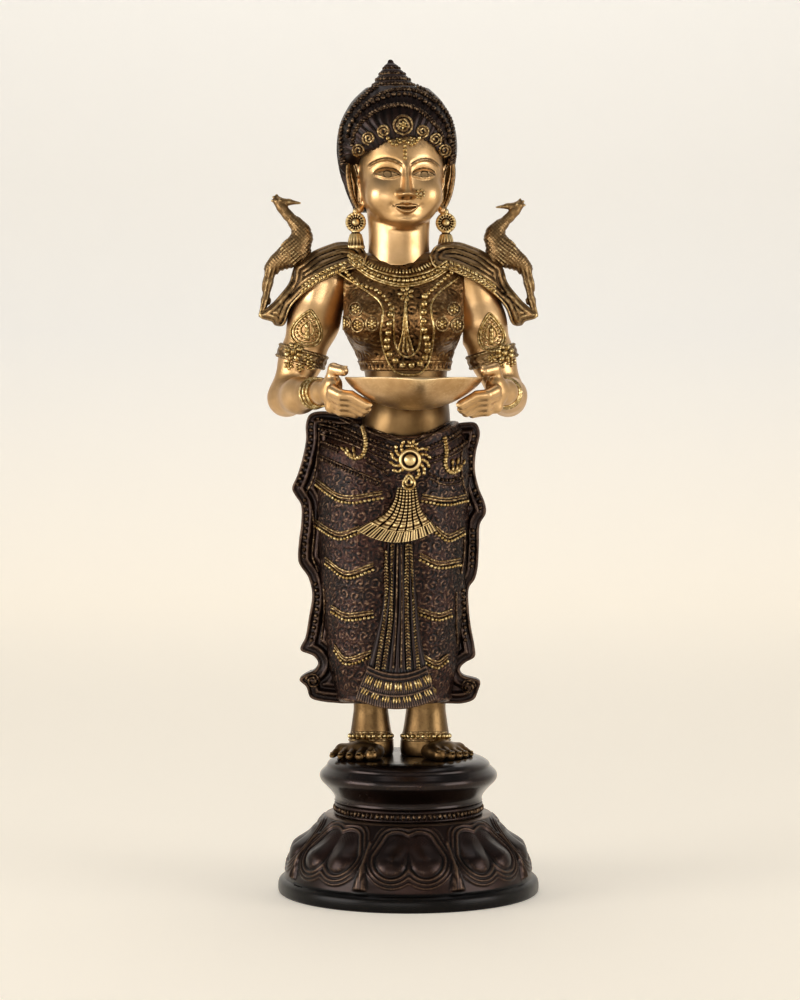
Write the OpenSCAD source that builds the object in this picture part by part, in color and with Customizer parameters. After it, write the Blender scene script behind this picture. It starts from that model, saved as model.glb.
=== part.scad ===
// Standing lamp bearer in cast brass on a lotus pedestal, holding a removable oil bowl.
// Millimetres, +Z up, the figure faces -Y, the origin is the centre of the pedestal's standing ring.

/* [Lotus base] */
// Diameter over the standing rim
base_d = 207; // [190:1:230]
// Height of the standing rim
base_rim_h = 11; // [8:0.5:14]
// Height of the dome up to the seat of the beaded ring
base_h = 62; // [55:1:75]
// Diameter of the seat at the top of the dome
base_seat_d = 133; // [126:1:142]
// Thickness of the cast dome wall
base_wall = 4; // [3:0.5:6]
// Thickness of the bolted plate at the top of the dome
base_plate_t = 6; // [4:0.5:9]
// Number of lotus petals round the dome
petal_count = 8; // [6:1:10]
// Half width of each petal lobe on the dome
petal_lobe_r = 12.4; // [10:0.2:13]
// Distance of the lobes from the middle of their petal
petal_lobe_x = 13.2; // [12:0.2:15]
// How far the petal lobes stand out of the dome
petal_lift = 5; // [3:0.5:6]

/* [Plinth] */
// Diameter of the beaded ring between dome and plinth
ring_d = 122; // [116:1:130]
// Height of the beaded ring
ring_h = 10; // [7:0.5:14]
// Diameter of the plinth's waist
plinth_neck_d = 113; // [104:1:118]
// Diameter of the plinth's rolled rim
plinth_rim_d = 140; // [130:1:150]
// Diameter of the flat on which the feet stand
plinth_top_d = 117; // [114:1:124]
// Height of the plinth
plinth_h = 36; // [30:1:44]
// Wall and top plate of the plinth
plinth_wall = 6; // [4:0.5:8]
// Depth of the register that centres the plinth on the dome
register_depth = 2; // [1:0.25:2.5]
// Clearance of that register
register_gap = 0.2; // [0.1:0.05:0.4]

/* [Foot bolts] */
// Thread diameter of the two bolts that hold the figure down
bolt_d = 8; // [6:1:10]
// Width across flats of the bolt heads
bolt_head_af = 13; // [10:1:16]
// Height of the bolt heads
bolt_head_h = 5.3; // [4:0.1:7]
// Outside diameter of the washers
washer_d = 17; // [15:0.5:20]
// Thickness of the washers
washer_t = 1.6; // [1:0.1:2.5]
// Length of thread in each foot
thread_l = 18; // [12:1:24]
// Radial clearance of the bolts in their holes
bolt_gap = 0.5; // [0.3:0.1:1]
// Radial clearance of cast spigots in their sockets
spigot_gap = 0.1; // [0.05:0.05:0.3]

/* [Legs and feet] */
// Sideways place of the figure's right leg
right_leg_x = -30; // [-34:0.5:-26]
// Sideways place of the figure's left leg
left_leg_x = 13.5; // [11:0.5:19]
// Distance of the legs behind the pedestal's centre
leg_y = 9; // [6:0.5:12]
// Height from the plinth to the hem of the skirt
leg_h = 44; // [38:1:52]
// Radius of the leg at the hem
calf_r = 15.5; // [14:0.5:16.5]
// Radius of the leg above the foot
ankle_r = 13; // [11:0.5:13.5]
// Turn-out of the right foot
right_splay = 20; // [10:1:30]
// Turn-out of the left foot
left_splay = 35; // [20:1:40]
// Radius of the cast spigot that holds a leg in the skirt
leg_spigot_r = 9; // [7:0.5:10]
// Length of that spigot
leg_spigot_l = 14; // [10:1:16]

/* [Skirt] */
// Height of the skirt from hem to waist rim
skirt_h = 222; // [205:1:235]
// Half width of the skirt at the hem
hem_w = 45; // [40:0.5:48]
// Half width of the skirt at the knees
knee_w = 56; // [52:0.5:60]
// Half width of the skirt at the hips
hip_w = 61; // [57:0.5:64]
// Half depth of the skirt at the hips
hip_depth = 45; // [42:0.5:48]
// Drop of the waist rim at the front
waist_dip = 13; // [8:0.5:16]
// Wall of the hollow skirt
skirt_wall = 6; // [5:0.5:8]
// Thickness of the floor that holds the legs
skirt_floor_t = 18; // [18:1:24]
// Sideways sway of the hips
hip_sway = -12; // [-16:0.5:-8]
// How far the thighs press through the cloth
thigh_out = 2.6; // [1:0.2:4]
// Depth of the furrow between the thighs
furrow_depth = 3; // [1:0.25:4]

/* [Drapery] */
// Thickness of the side sashes from front to back
sash_t = 15; // [10:0.5:20]
// How far the widest fold of the right sash stands out from the skirt
right_sash_out = 18; // [14:0.5:22]
// How far the widest fold of the left sash stands out from the skirt
left_sash_out = 11; // [8:0.5:16]
// Half width of the short apron at its lower edge
apron_w = 37; // [32:0.5:40]
// Height of the short apron
apron_h = 58; // [50:1:64]
// Half width of the long front pleats at the hem
pleats_w = 33; // [28:0.5:36]
// Number of folds in the long front pleats
pleat_count = 9; // [5:2:13]
// How far the pleats stand out in front of the hips
pleats_out = 6; // [4:0.5:9]
// Least thickness of the pleated panels
panel_t = 3.5; // [3:0.25:6]
// Clearance of the pleated panels on the skirt
panel_gap = 0.3; // [0.2:0.05:0.5]
// Radius of the girdle clasp
clasp_r = 14; // [11:0.5:16]
// Thickness of the girdle clasp
clasp_t = 5.5; // [4:0.25:7]

/* [Torso] */
// Depth to which the torso sits in the skirt
torso_seat = 24; // [18:1:28]
// Clearance round the torso in the skirt
torso_gap = 0.3; // [0.2:0.05:0.5]
// Height of the torso from its seat to the neck joint
torso_h = 158; // [150:1:166]
// Half width at the waist
waist_w = 34.5; // [32:0.5:37]
// Half width at the shoulders before the arms are joined
shoulder_w = 47; // [44:0.5:49]
// Half depth of the belly in front
belly_depth = 38; // [35:0.5:40]
// Radius of each breast
breast_r = 23; // [20:0.5:25]
// Height of the neck joint above the shoulder joints
shoulder_drop = 24; // [22:0.5:26]
// Sideways place of the torso and neck
torso_x = -4; // [-8:0.5:0]
// Centre of the trunk behind the pedestal's centre
trunk_y = 4; // [0:0.5:8]

/* [Arms] */
// Radius of the shoulder
shoulder_r = 20; // [18:0.5:21]
// Distance of the shoulder's centre outside its joint
shoulder_out = 10; // [8:0.5:14]
// Radius of the upper arm at the armlet
arm_r = 16.5; // [15:0.5:18]
// Radius at the elbow
elbow_r = 14.5; // [13:0.5:16]
// Distance of the elbows from the middle of the arms
elbow_x = 88; // [85:0.5:92]
// Sideways sway of both arms against the torso
arm_sway = -5; // [-6:0.5:-2]
// Length of the upper arm from shoulder to elbow
upper_arm_l = 91; // [86:0.5:94]
// Radius of the wrist
wrist_r = 9.5; // [8.5:0.25:10.5]
// Radius of the pin that holds an arm in the torso
arm_pin_r = 6; // [4:0.5:8]
// Length of that pin
arm_pin_l = 14; // [10:1:16]
// Height of each armlet band
armlet_h = 17; // [12:0.5:20]
// Thickness of each armlet band
armlet_t = 3; // [2:0.25:4]

/* [Hands and oil bowl] */
// Half width of the bowl from hand to hand
bowl_w = 53; // [50:0.5:55]
// Half depth of the bowl from back to front
bowl_l = 43; // [38:0.5:46]
// Depth of the bowl
bowl_depth = 25; // [20:0.5:28]
// Wall of the bowl
bowl_wall = 2.5; // [2:0.25:3.5]
// Length of the pinched wick spout
spout_l = 9; // [6:0.5:12]
// Sideways place of the bowl
bowl_x = 4; // [1:0.5:7]
// Distance of the bowl's middle in front of the pedestal's centre
bowl_y = 84; // [82:0.5:88]
// Height of the bowl's rim above the torso's seat
bowl_rise = 59; // [56:0.5:62]
// Radius of the fingers
finger_r = 4.2; // [3.6:0.1:4.6]
// Distance from finger to finger down the side of the bowl
finger_pitch = 4.75; // [4:0.25:6]
// Space between the bowl and the fingers and thumbs
grip_gap = 0.4; // [0.3:0.05:0.8]

/* [Shoulder drapes and birds] */
// Sideways sway of the drapes and birds against the torso
wing_sway = -4; // [-6:0.5:-2]
// Thickness of the shoulder drapes
drape_t = 5; // [4:0.25:6]
// Clearance of the drapes round the earrings
drape_gap = 0.4; // [0.3:0.05:0.8]
// Radius of a bird's body
bird_r = 10.5; // [9:0.25:12]
// Height of a bird's crown above its seat on the drape
bird_h = 55; // [50:1:60]

/* [Head] */
// Radius of the neck
neck_r = 23; // [21:0.5:25]
// Height of the neck below the chin
neck_h = 20; // [16:0.5:24]
// Radius of the neck's spigot in the torso
neck_spigot_r = 12; // [9:0.5:14]
// Length of that spigot
neck_spigot_l = 14; // [10:1:18]
// Half width of the face
face_w = 32.5; // [30:0.5:35]
// Height of the face and skull from chin to crown
skull_h = 91; // [86:0.5:95]
// Half width of the hair
hair_w = 47.5; // [44:0.5:50]
// Height of the hair above the chin
hair_h = 110; // [106:0.5:114]
// Clearance between hair and skull
hair_gap = 0.3; // [0.2:0.05:0.5]
// Sideways lean of the hair against the face
hair_lean = -2.5; // [-4:0.25:0]
// Turn of the head about the neck
head_turn = 7; // [0:0.5:12]
// Height of the finial
finial_h = 23; // [18:0.5:28]
// Diameter of the finial's foot
finial_d = 35; // [30:0.5:40]
// Radius of the earring discs
earring_r = 8; // [6:0.25:10]
// Height of the earring bells
bell_h = 14; // [10:0.5:18]
// Clearance between the ears and the earrings
earring_gap = 0.2; // [0.1:0.05:0.4]
// Height above the chin to which the neck runs up behind the jaw
nape_h = 24; // [20:0.5:26]

/* [Hidden] */

// Facets of true round shapes, of hulled balls and of skinned sections
$fn = 64;
ball_fn = 14;
trunk_fn = 44;
bowl_fn = 48;
small = 0.01;
far = 400;

// Colours of the antique finish
polished = "#c8a060";
patina = "#3a2620";
dark = "#241a18";

// Heights of the seats, each stacked on the one below
ring_z = base_h;
plinth_z = ring_z + ring_h;
sole_z = plinth_z + plinth_h;
hem_z = sole_z + leg_h;
rim_z = hem_z + skirt_h;
seat_z = rim_z - torso_seat;
neck_z = seat_z + torso_h;
chin_z = neck_z + neck_h;
shoulder_z = neck_z - shoulder_drop;
bowl_z = seat_z + bowl_rise;

// Axes of the shoulders and of the head
shoulder_y = trunk_y + 2;
head_x = torso_x - 2;
head_y = trunk_y;

function mix(a, b, t) = a + (b - a) * t;

// Smooth curve through key rows: the first column is the place, the rest are values
function span_of(keys, z) = max([0, for (k = [0 : len(keys) - 2]) if (z >= keys[k][0]) k]);
function slope(keys, k, j) =
    let (a = keys[max(k - 1, 0)], b = keys[min(k + 1, len(keys) - 1)]) (b[j] - a[j]) / (b[0] - a[0]);
function row_at(keys, z) =
    let (k = span_of(keys, z), a = keys[k], b = keys[k + 1], h = b[0] - a[0], t = (z - a[0]) / h)
    [for (j = [0 : len(a) - 1])
        j == 0 ? z :
        a[j] * (1 + 2 * t) * (1 - t) ^ 2 + b[j] * t * t * (3 - 2 * t)
        + h * t * (1 - t) * (slope(keys, k, j) * (1 - t) - slope(keys, k + 1, j) * t)];

// Oval ring of points with its own depth in front and behind
function oval(z, cx, cy, w, front, back, n) =
    [for (i = [0 : n - 1])
        let (a = 360 * i / n, depth = sin(a) < 0 ? front : back)
        [cx + w * cos(a), cy + depth * sin(a), z]];

// Closed solid through rings of equal point counts
module skin(rings) {
    n = len(rings[0]);
    last = (len(rings) - 1) * n;
    sides = [for (j = [0 : len(rings) - 2], i = [0 : n - 1])
        let (a = j * n + i, b = j * n + (i + 1) % n) each [[a, a + n, b], [b, a + n, b + n]]];
    ends = [for (i = [1 : n - 2]) each [[0, i, i + 1], [last, last + i + 1, last + i]]];
    polyhedron([for (r = rings) each r], concat(sides, ends));
}

// Chain of hulled balls: each row is a place and a radius
module chain(rows, grow = 0) {
    for (i = [0 : len(rows) - 2])
        hull() for (r = [rows[i], rows[i + 1]]) translate(r[0]) sphere(r[1] + grow, $fn = ball_fn);
}

// Profile of the pedestal's dome between the rim and the seat
dome_foot_r = base_d / 2 - 6;
dome_rows = [[base_rim_h, dome_foot_r], [base_h * 0.4, dome_foot_r - 4],
    [base_h * 0.7, base_seat_d / 2 + 16.5], [base_h, base_seat_d / 2]];
function dome_r(z) = row_at(dome_rows, z)[1];
dome_steps = [for (i = [0 : 8]) mix(base_rim_h, base_h, i / 8)];

legs = [[right_leg_x, leg_y], [left_leg_x, leg_y]];
register_r = ring_d / 2 - 14;
register_z = base_h - register_depth;

module at_legs() {
    for (p = legs) translate([p[0], p[1], 0]) children();
}

module bolt_holes(z, h) {
    at_legs() translate([0, 0, z - small]) cylinder(r = bolt_d / 2 + bolt_gap, h = h + 2 * small);
}

// Balls of a lobe: height as a share of the dome, share of the half width, of the distance and of the lift
lobe_rows = [[0.52, 1, 1, 1], [0.765, 0.79, 0.76, 0.84]];

// Way out of the dome's surface at a height, as radius and height
function dome_out(z) = let (lean = dome_r(z - 1) - dome_r(z + 1)) [2, lean] / norm([2, lean]);

// Two balls sunk into the dome, which form one lobe of a petal
module petal_lobe(side) {
    for (row = lobe_rows) {
        z = base_h * row[0];
        lift = petal_lift * row[3];
        lobe_ball_r = ((petal_lobe_r * row[1]) ^ 2 + lift ^ 2) / (2 * lift);
        sunk = dome_out(z) * (lift - lobe_ball_r);
        rotate(side * petal_lobe_x * row[2] / dome_r(z) * 180 / PI)
            translate([dome_r(z) + sunk[0], 0, z + sunk[1]]) sphere(lobe_ball_r);
    }
}

// Cast dome, open below, with two lobes for each lotus petal and a bolted plate on top
module lotus_base() {
    plate_z = base_h - base_plate_t;
    skin_t = base_wall + 3;
    color(patina) difference() {
        union() {
            rotate_extrude() polygon(concat([[0, 0], [base_d / 2, 0], [base_d / 2, base_rim_h - 3],
                [base_d / 2 - 3, base_rim_h]], [for (z = dome_steps) [dome_r(z), z]], [[0, base_h]]));
            for (i = [0 : petal_count - 1], side = [-1, 1])
                rotate(360 * i / petal_count - 90) petal_lobe(side);
        }
        rotate_extrude() polygon(concat([[0, -small], [base_d / 2 - base_wall, -small],
            [base_d / 2 - base_wall - 2, base_rim_h - base_wall]],
            [for (z = dome_steps) if (z > base_rim_h && z < plate_z - base_wall) [dome_r(z) - skin_t, z]],
            [[dome_r(plate_z) - skin_t, plate_z], [0, plate_z]]));
        bolt_holes(plate_z, base_plate_t);
        translate([0, 0, register_z]) cylinder(r = register_r + register_gap, h = ring_h);
    }
}

// Half-round ring that carries the row of beads
module beaded_ring() {
    bead_r = ring_h / 2;
    inner = register_r + register_gap;
    color(patina) rotate_extrude() difference() {
        union() {
            translate([inner, ring_z]) square([ring_d / 2 - bead_r - inner, ring_h]);
            translate([ring_d / 2 - bead_r, ring_z + bead_r]) circle(bead_r);
        }
        translate([0, ring_z - far]) square([far, far]);
    }
}

// Waisted hollow plinth with a rolled rim, a flat top and a register below
module plinth() {
    roll_r = plinth_h * 0.2;
    roll_z = sole_z - roll_r * 1.95;
    neck_r2 = plinth_neck_d / 2;
    rim_r = plinth_rim_d / 2;
    neck_rows = [[plinth_z, neck_r2], [plinth_z + plinth_h * 0.12, neck_r2 - 0.5],
        [plinth_z + plinth_h * 0.3, neck_r2 + 6], [roll_z - roll_r * 0.7, rim_r - roll_r * 0.3]];
    steps = [for (i = [0 : 6]) mix(neck_rows[0][0], neck_rows[3][0], i / 6)];
    color(patina) difference() {
        rotate_extrude() union() {
            polygon(concat([[0, plinth_z]], [for (z = steps) [row_at(neck_rows, z)[1], z]],
                [[rim_r - roll_r, roll_z], [plinth_top_d / 2 + 4.5, sole_z - roll_r * 0.7],
                [plinth_top_d / 2 + 1, sole_z - 2], [plinth_top_d / 2, sole_z], [0, sole_z]]));
            translate([rim_r - roll_r, roll_z]) circle(roll_r);
            translate([0, register_z + register_gap]) square([register_r, ring_h * 1.5]);
        }
        translate([0, 0, ring_z - ring_h])
            cylinder(r = register_r - plinth_wall, h = sole_z - plinth_wall - ring_z + ring_h);
        bolt_holes(register_z, sole_z - register_z);
    }
}

washer_z = base_h - base_plate_t - washer_t;

// Two hexagon bolts from under the dome into the feet
module foot_bolts() {
    color("gray") at_legs() {
        translate([0, 0, washer_z - bolt_head_h])
            cylinder(d = bolt_head_af / cos(30), h = bolt_head_h, $fn = 6);
        translate([0, 0, washer_z - small]) cylinder(d = bolt_d, h = sole_z + thread_l - washer_z + small);
    }
}

module bolt_washers() {
    color("gray") at_legs() translate([0, 0, washer_z]) difference() {
        cylinder(d = washer_d, h = washer_t);
        translate([0, 0, -small]) cylinder(r = bolt_d / 2 + bolt_gap, h = washer_t + 2 * small);
    }
}

// Foot with five toes, calf and spigot; side is -1 for the right foot and 1 for the left
module leg(place, side, splay) {
    sole_r = 9;
    toe_r = [5.6, 4.3, 4, 3.7, 3.4];
    toe_tip = [38, 38.5, 36, 32, 27];
    color(polished) difference() {
        translate([place[0], place[1], 0]) union() {
            rotate_extrude() polygon([[0, sole_z + 4], [ankle_r, sole_z + 4],
                [ankle_r, sole_z + leg_h * 0.45], [calf_r, hem_z], [leg_spigot_r, hem_z],
                [leg_spigot_r, hem_z + leg_spigot_l], [0, hem_z + leg_spigot_l]]);
            translate([0, 0, sole_z]) rotate(side * splay) scale([-side, 1, 1]) {
                hull() {
                    translate([0, 8, sole_r]) sphere(sole_r + 2, $fn = 20);
                    translate([0, -6, ankle_r]) sphere(ankle_r - 0.5, $fn = 20);
                    translate([12, -20, 5]) sphere(6, $fn = 20);
                    translate([-13, -16, 4]) sphere(5, $fn = 20);
                }
                for (i = [0 : 4]) hull() {
                    translate([14 - i * 7.4, -20 + abs(i - 1) * 1.4, toe_r[i] - 0.6])
                        sphere(toe_r[i], $fn = 12);
                    translate([15 - i * 8.2, -toe_tip[i] + toe_r[i], toe_r[i] - 0.8])
                        sphere(toe_r[i], $fn = 12);
                }
            }
        }
        translate([place[0], place[1], sole_z - far / 2]) cube([far, far, far], center = true);
        translate([place[0], place[1], sole_z - small])
            cylinder(d = bolt_d, h = thread_l + spigot_gap + small);
    }
}

module right_leg() leg(legs[0], -1, right_splay);
module left_leg() leg(legs[1], 1, left_splay);

// Sections of the skirt from hem to waist: height, centre, half width, front and back depth
hem_x = (right_leg_x + left_leg_x) / 2 - 3;
skirt_rows = [
    [hem_z, hem_x, hem_w, 34, 34],
    [hem_z + skirt_h * 0.11, hem_x - 1, mix(hem_w, knee_w, 0.55), 37, 35],
    [hem_z + skirt_h * 0.29, hip_sway, knee_w, 40, 38],
    [hem_z + skirt_h * 0.52, hip_sway, mix(knee_w, hip_w, 0.7), hip_depth - 2, 41],
    [hem_z + skirt_h * 0.77, hip_sway, hip_w, hip_depth, hip_depth],
    [hem_z + skirt_h * 0.91, hip_sway + 1, hip_w - 1, hip_depth - 2, hip_depth],
    [hem_z + skirt_h * 0.965, mix(hip_sway, torso_x, 0.5), hip_w - 9, hip_depth - 3, 38],
    [rim_z, torso_x + 1, waist_w + 8, belly_depth + 4, 31]];
skirt_steps = [for (i = [0 : 15]) mix(hem_z, rim_z, i / 15)];

// The waist rim drops towards the front, and the rows under it follow
function dipped(ring, z) =
    let (share = max(0, (z - hem_z) / skirt_h - 0.7) / 0.3)
    [for (p = ring)
        let (lead = max(0, trunk_y - p[1]) / hip_depth)
        [p[0], p[1], p[2] - waist_dip * share * lead ^ 1.5]];

// Thighs under the cloth, in front and behind, with a furrow between them
function swell(x, w) = exp(-(x / w) ^ 2);
function eased(t) = let (s = min(max(t, 0), 1)) s * s * (3 - 2 * s);
function thigh_lift(x, z) =
    let (share = eased((z - hem_z) / skirt_h * 4) * eased((rim_z - z) / skirt_h * 4 - 0.25), u = x - hip_sway)
    share * (thigh_out * (swell(u + 26, 17) + swell(u - 28, 17)) - furrow_depth * swell(u - 3, 9));
function skirt_ring(z, inset = 0) =
    let (r = row_at(skirt_rows, z))
    dipped([for (i = [0 : trunk_fn - 1])
        let (a = 360 * i / trunk_fn, depth = sin(a) < 0 ? r[3] : r[4],
            out = thigh_lift(r[1] + r[2] * cos(a), z) * abs(sin(a)) - inset)
        [r[1] + (r[2] + out) * cos(a), trunk_y + (depth + out) * sin(a), z]], z);

// Sections of the torso from its seat to the neck joint
torso_rows = [
    [seat_z, torso_x + 1, waist_w + 1.5, belly_depth - 5, 25],
    [seat_z + torso_h * 0.08, torso_x + 1, waist_w + 1.5, belly_depth - 2, 25],
    [seat_z + torso_h * 0.18, torso_x + 2, waist_w + 0.5, belly_depth, 24],
    [seat_z + torso_h * 0.29, torso_x + 2, waist_w - 0.5, belly_depth - 2, 22],
    [seat_z + torso_h * 0.385, torso_x + 2, waist_w, belly_depth - 5, 21],
    [seat_z + torso_h * 0.49, torso_x + 1, waist_w + 6, belly_depth - 5, 22],
    [seat_z + torso_h * 0.61, torso_x, shoulder_w + 1, belly_depth - 1, 25],
    [seat_z + torso_h * 0.71, torso_x, shoulder_w + 5, belly_depth, 27],
    [seat_z + torso_h * 0.82, torso_x, shoulder_w + 8, belly_depth - 4, 28],
    [seat_z + torso_h * 0.91, torso_x - 1, shoulder_w + 5, belly_depth - 11, 25],
    [seat_z + torso_h * 0.965, torso_x - 1, shoulder_w - 5, belly_depth - 16, 21],
    [neck_z, torso_x - 1, neck_r + 4, neck_r - 4, 18]];
torso_steps = [for (i = [0 : 18]) mix(seat_z, neck_z, i / 18)];
function torso_ring(z, grow = 0) =
    let (r = row_at(torso_rows, z)) oval(z, r[1], trunk_y, r[2] + grow, r[3] + grow, r[4] + grow, trunk_fn);

// Hollow skirt with a pocket for the torso above and a floor with leg sockets below
module skirt() {
    pocket = [for (t = [1, 0.5]) let (z = mix(seat_z, rim_z, t)) dipped(torso_ring(z, torso_gap), z)];
    ledge = [for (p = torso_ring(seat_z, -8)) [p[0], p[1], seat_z]];
    hollow_top = [for (p = torso_ring(seat_z, -8)) [p[0], p[1], seat_z - 6]];
    hollow_steps = [for (t = [0.8, 0.55, 0.3, 0]) mix(hem_z + skirt_floor_t, seat_z, t)];
    flat_pocket = [for (p = torso_ring(seat_z, torso_gap)) [p[0], p[1], seat_z]];
    color(dark) difference() {
        skin(concat([for (z = skirt_steps) skirt_ring(z)], pocket, [flat_pocket, ledge, hollow_top],
            [for (z = hollow_steps) skirt_ring(z, skirt_wall)]));
        at_legs() translate([0, 0, hem_z - small])
            cylinder(r = leg_spigot_r + spigot_gap, h = leg_spigot_l + spigot_gap + small);
    }
}

module skirt_body() skin([for (z = skirt_steps) skirt_ring(z)]);

// Outline of one side sash, as steps out from the skirt at heights below the waist rim
sash_folds = [[-2, -0.3], [8, 0.15], [5, 0.5], [-25, 0.5], [-62, 0.85], [-92, 1.3], [-108, 1],
    [-118, 0.85], [-170, 0.75], [-190, 0.9], [-200, 0.55], [-206, 0.3], [-232, 0.35], [-262, 0.8],
    [-270, 0.85], [-276, 0.35], [-290, 0.3], [-297, 0.85], [-312, 0.65], [-321, 0.5], [-324, -0.3]];

module sash(side, sash_out) {
    drop = skirt_h / 327;
    outline = [for (p = sash_folds) let (z = rim_z + p[0] * drop,
        r = row_at(skirt_rows, min(max(z, hem_z), rim_z - skirt_h * 0.12)))
        [r[1] + side * (r[2] - 2 + sash_out * p[1]), z]];
    inner = [for (z = [hem_z + 4, seat_z]) [row_at(skirt_rows, z)[1] + side * (hem_w - 12), z]];
    color(dark) difference() {
        translate([0, trunk_y + sash_t / 2, 0]) rotate([90, 0, 0]) linear_extrude(sash_t)
            polygon(concat(outline, inner));
        skirt_body();
    }
}

module right_sash() sash(-1, right_sash_out);
module left_sash() sash(1, left_sash_out);

// Front of the skirt at a place across and a height; panels hang straight over the furrow
function skirt_front(x, z) =
    let (zs = max(z, hem_z), r = row_at(skirt_rows, zs), out = max(thigh_lift(x, zs), 0) * 1.15,
        across = min(abs(x - r[1]) / (r[2] + out), 1))
    trunk_y - (r[3] + out) * sqrt(1 - across ^ 2);

// Pleated panel that widens downwards; its back lies on the skirt
module pleated(top_z, low_z, cx, top_w, low_w, front, flare, folds, depth) {
    across = [for (i = [0 : 2 * folds]) i / folds - 1];
    function fold_row(t) =
        let (w = mix(top_w, low_w, t ^ 1.6), y = trunk_y - front - flare * t ^ 2, z = mix(top_z, low_z, t),
            lie = [for (a = across) skirt_front(cx + w * a, z) - panel_gap],
            face = [for (i = [0 : 2 * folds])
                min(y + 4 * across[i] ^ 2, lie[i] - panel_t) + (i % 2) * depth])
        concat([for (i = [0 : 2 * folds]) [cx + w * across[i], face[i], z]],
            [for (i = [2 * folds : -1 : 0]) [cx + w * across[i], lie[i], z]]);
    skin([for (t = [1, 0.84, 0.68, 0.52, 0.36, 0.18, 0]) fold_row(t)]);
}

apron_top_z = rim_z - waist_dip - 2 * clasp_r + 4;
apron_low_z = apron_top_z - apron_h;

module apron() {
    color(patina) pleated(apron_top_z, apron_low_z, torso_x + 3, 9, apron_w, hip_depth + 2, 4, 5, 1.5);
}

module front_pleats() {
    color(dark) pleated(apron_low_z, hem_z - 8, torso_x, 12, pleats_w, hip_depth, pleats_out - 4,
        pleat_count, 2);
}

// Round buckle with a boss, flat on the front of the waist
module girdle_clasp() {
    clasp_z = apron_top_z + clasp_r + panel_gap;
    back_y = trunk_y - row_at(skirt_rows, apron_top_z + clasp_r * 0.6)[3] - panel_gap;
    color(polished) translate([torso_x + 5, back_y, clasp_z]) rotate([90, 0, 0]) {
        cylinder(r = clasp_r, h = clasp_t);
        cylinder(r = clasp_r * 0.55, h = clasp_t + 2);
    }
}

// Trunk with breasts, flat joint faces at the shoulders and sockets for neck and arms
module torso() {
    shoulder_span = 2 * shoulder_w;
    color(polished) difference() {
        intersection() {
            union() {
                skin([for (z = torso_steps) torso_ring(z)]);
                for (side = [-1, 1])
                    translate([torso_x + side * breast_r * 1.08, trunk_y - belly_depth + breast_r * 0.52,
                        seat_z + torso_h * 0.665]) sphere(breast_r);
            }
            translate([torso_x - shoulder_w, -far / 2, seat_z]) cube([shoulder_span, far, torso_h]);
        }
        translate([head_x, head_y, neck_z - neck_spigot_l - spigot_gap])
            cylinder(r = neck_spigot_r + spigot_gap, h = neck_spigot_l + 1);
        for (side = [-1, 1])
            translate([torso_x + side * shoulder_w, shoulder_y, shoulder_z]) rotate([0, -side * 90, 0])
                translate([0, 0, -small])
                    cylinder(r = arm_pin_r + spigot_gap, h = arm_pin_l + spigot_gap + small);
    }
}

// Centres and radii down an arm, as seen on the figure's left side
function arm_rows(side) =
    let (mid = torso_x + arm_sway, sx = mid + side * (shoulder_w + shoulder_out), ex = mid + side * elbow_x,
        elbow_z = shoulder_z - upper_arm_l,
        wrist = [bowl_x + side * (bowl_w + 17), -bowl_y + 21, bowl_z - 11])
    [[[sx, shoulder_y, shoulder_z], shoulder_r],
     [[mix(sx, ex, 0.3), shoulder_y + 1, shoulder_z - upper_arm_l * 0.34], mix(shoulder_r, arm_r, 0.2)],
     [[mix(sx, ex, 0.62), shoulder_y + 2, shoulder_z - upper_arm_l * 0.66], arm_r],
     [[ex, shoulder_y, elbow_z], elbow_r],
     [[mix(ex, wrist[0], 0.45), mix(shoulder_y, wrist[1], 0.45), mix(elbow_z, wrist[2], 0.4) - 1],
         mix(elbow_r, wrist_r, 0.3)],
     [wrist, wrist_r]];

// Height of the bowl's underside at a distance from its middle
function bowl_under(x) = bowl_z - bowl_depth * max(0, 1 - (x / bowl_w) ^ 2) ^ 0.75;

// Height of a ball's centre that touches the underside with the grip's clearance
function rest_under(x, r) =
    let (rise = (bowl_under(x + 1) - bowl_under(x - 1)) / 2)
    bowl_under(x) - (r + grip_gap) * sqrt(1 + rise ^ 2);

// Fingers lie under the bowl and the thumb over its rim
module hand(side) {
    r = finger_r;
    tip_r = r * 0.92;
    tip_x = bowl_w - 17;
    thumb_z = bowl_z + r + grip_gap;
    palm = [[bowl_w + 10, -bowl_y + 14, bowl_z - 10], [bowl_w + 8, -bowl_y + 2, bowl_z - 6],
        [bowl_w + 9, -bowl_y + 4, bowl_z - 24]];
    translate([bowl_x, 0, 0]) scale([side, 1, 1]) {
        hull() {
            translate([bowl_w + 17, -bowl_y + 21, bowl_z - 11]) sphere(wrist_r, $fn = ball_fn);
            for (p = palm) translate(p) sphere(r * 1.6, $fn = ball_fn);
        }
        for (i = [0 : 3]) {
            y = -bowl_y - 4 + i * 4;
            reach = tip_x + [0, 1, 4, 9][i];
            drop = i * finger_pitch;
            chain([[[bowl_w + 8, y, bowl_z - 12 - drop * 0.9], r * 1.15],
                [[bowl_w - 5, y - 1, rest_under(bowl_w - 5, r) - drop], r],
                [[reach, y - 2, rest_under(reach, tip_r) - drop], tip_r]]);
        }
        chain([[[bowl_w + 11, -bowl_y + 9, bowl_z - 4], r * 1.25],
            [[bowl_w + 9, -bowl_y + 3, thumb_z + 2], r * 1.05],
            [[bowl_w + 1, -bowl_y - 3, thumb_z + 0.2], r * 0.98]]);
    }
}

module arm_core(side, grow = 0) {
    chain(arm_rows(side), grow);
}

// Everything on the inner side of a shoulder joint, above the armpit
module shoulder_cut(side) {
    translate([torso_x + side * (shoulder_w - far / 2), 0, shoulder_z - shoulder_r * 2.6 + far / 2])
        cube([far, far, far], center = true);
}

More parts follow.
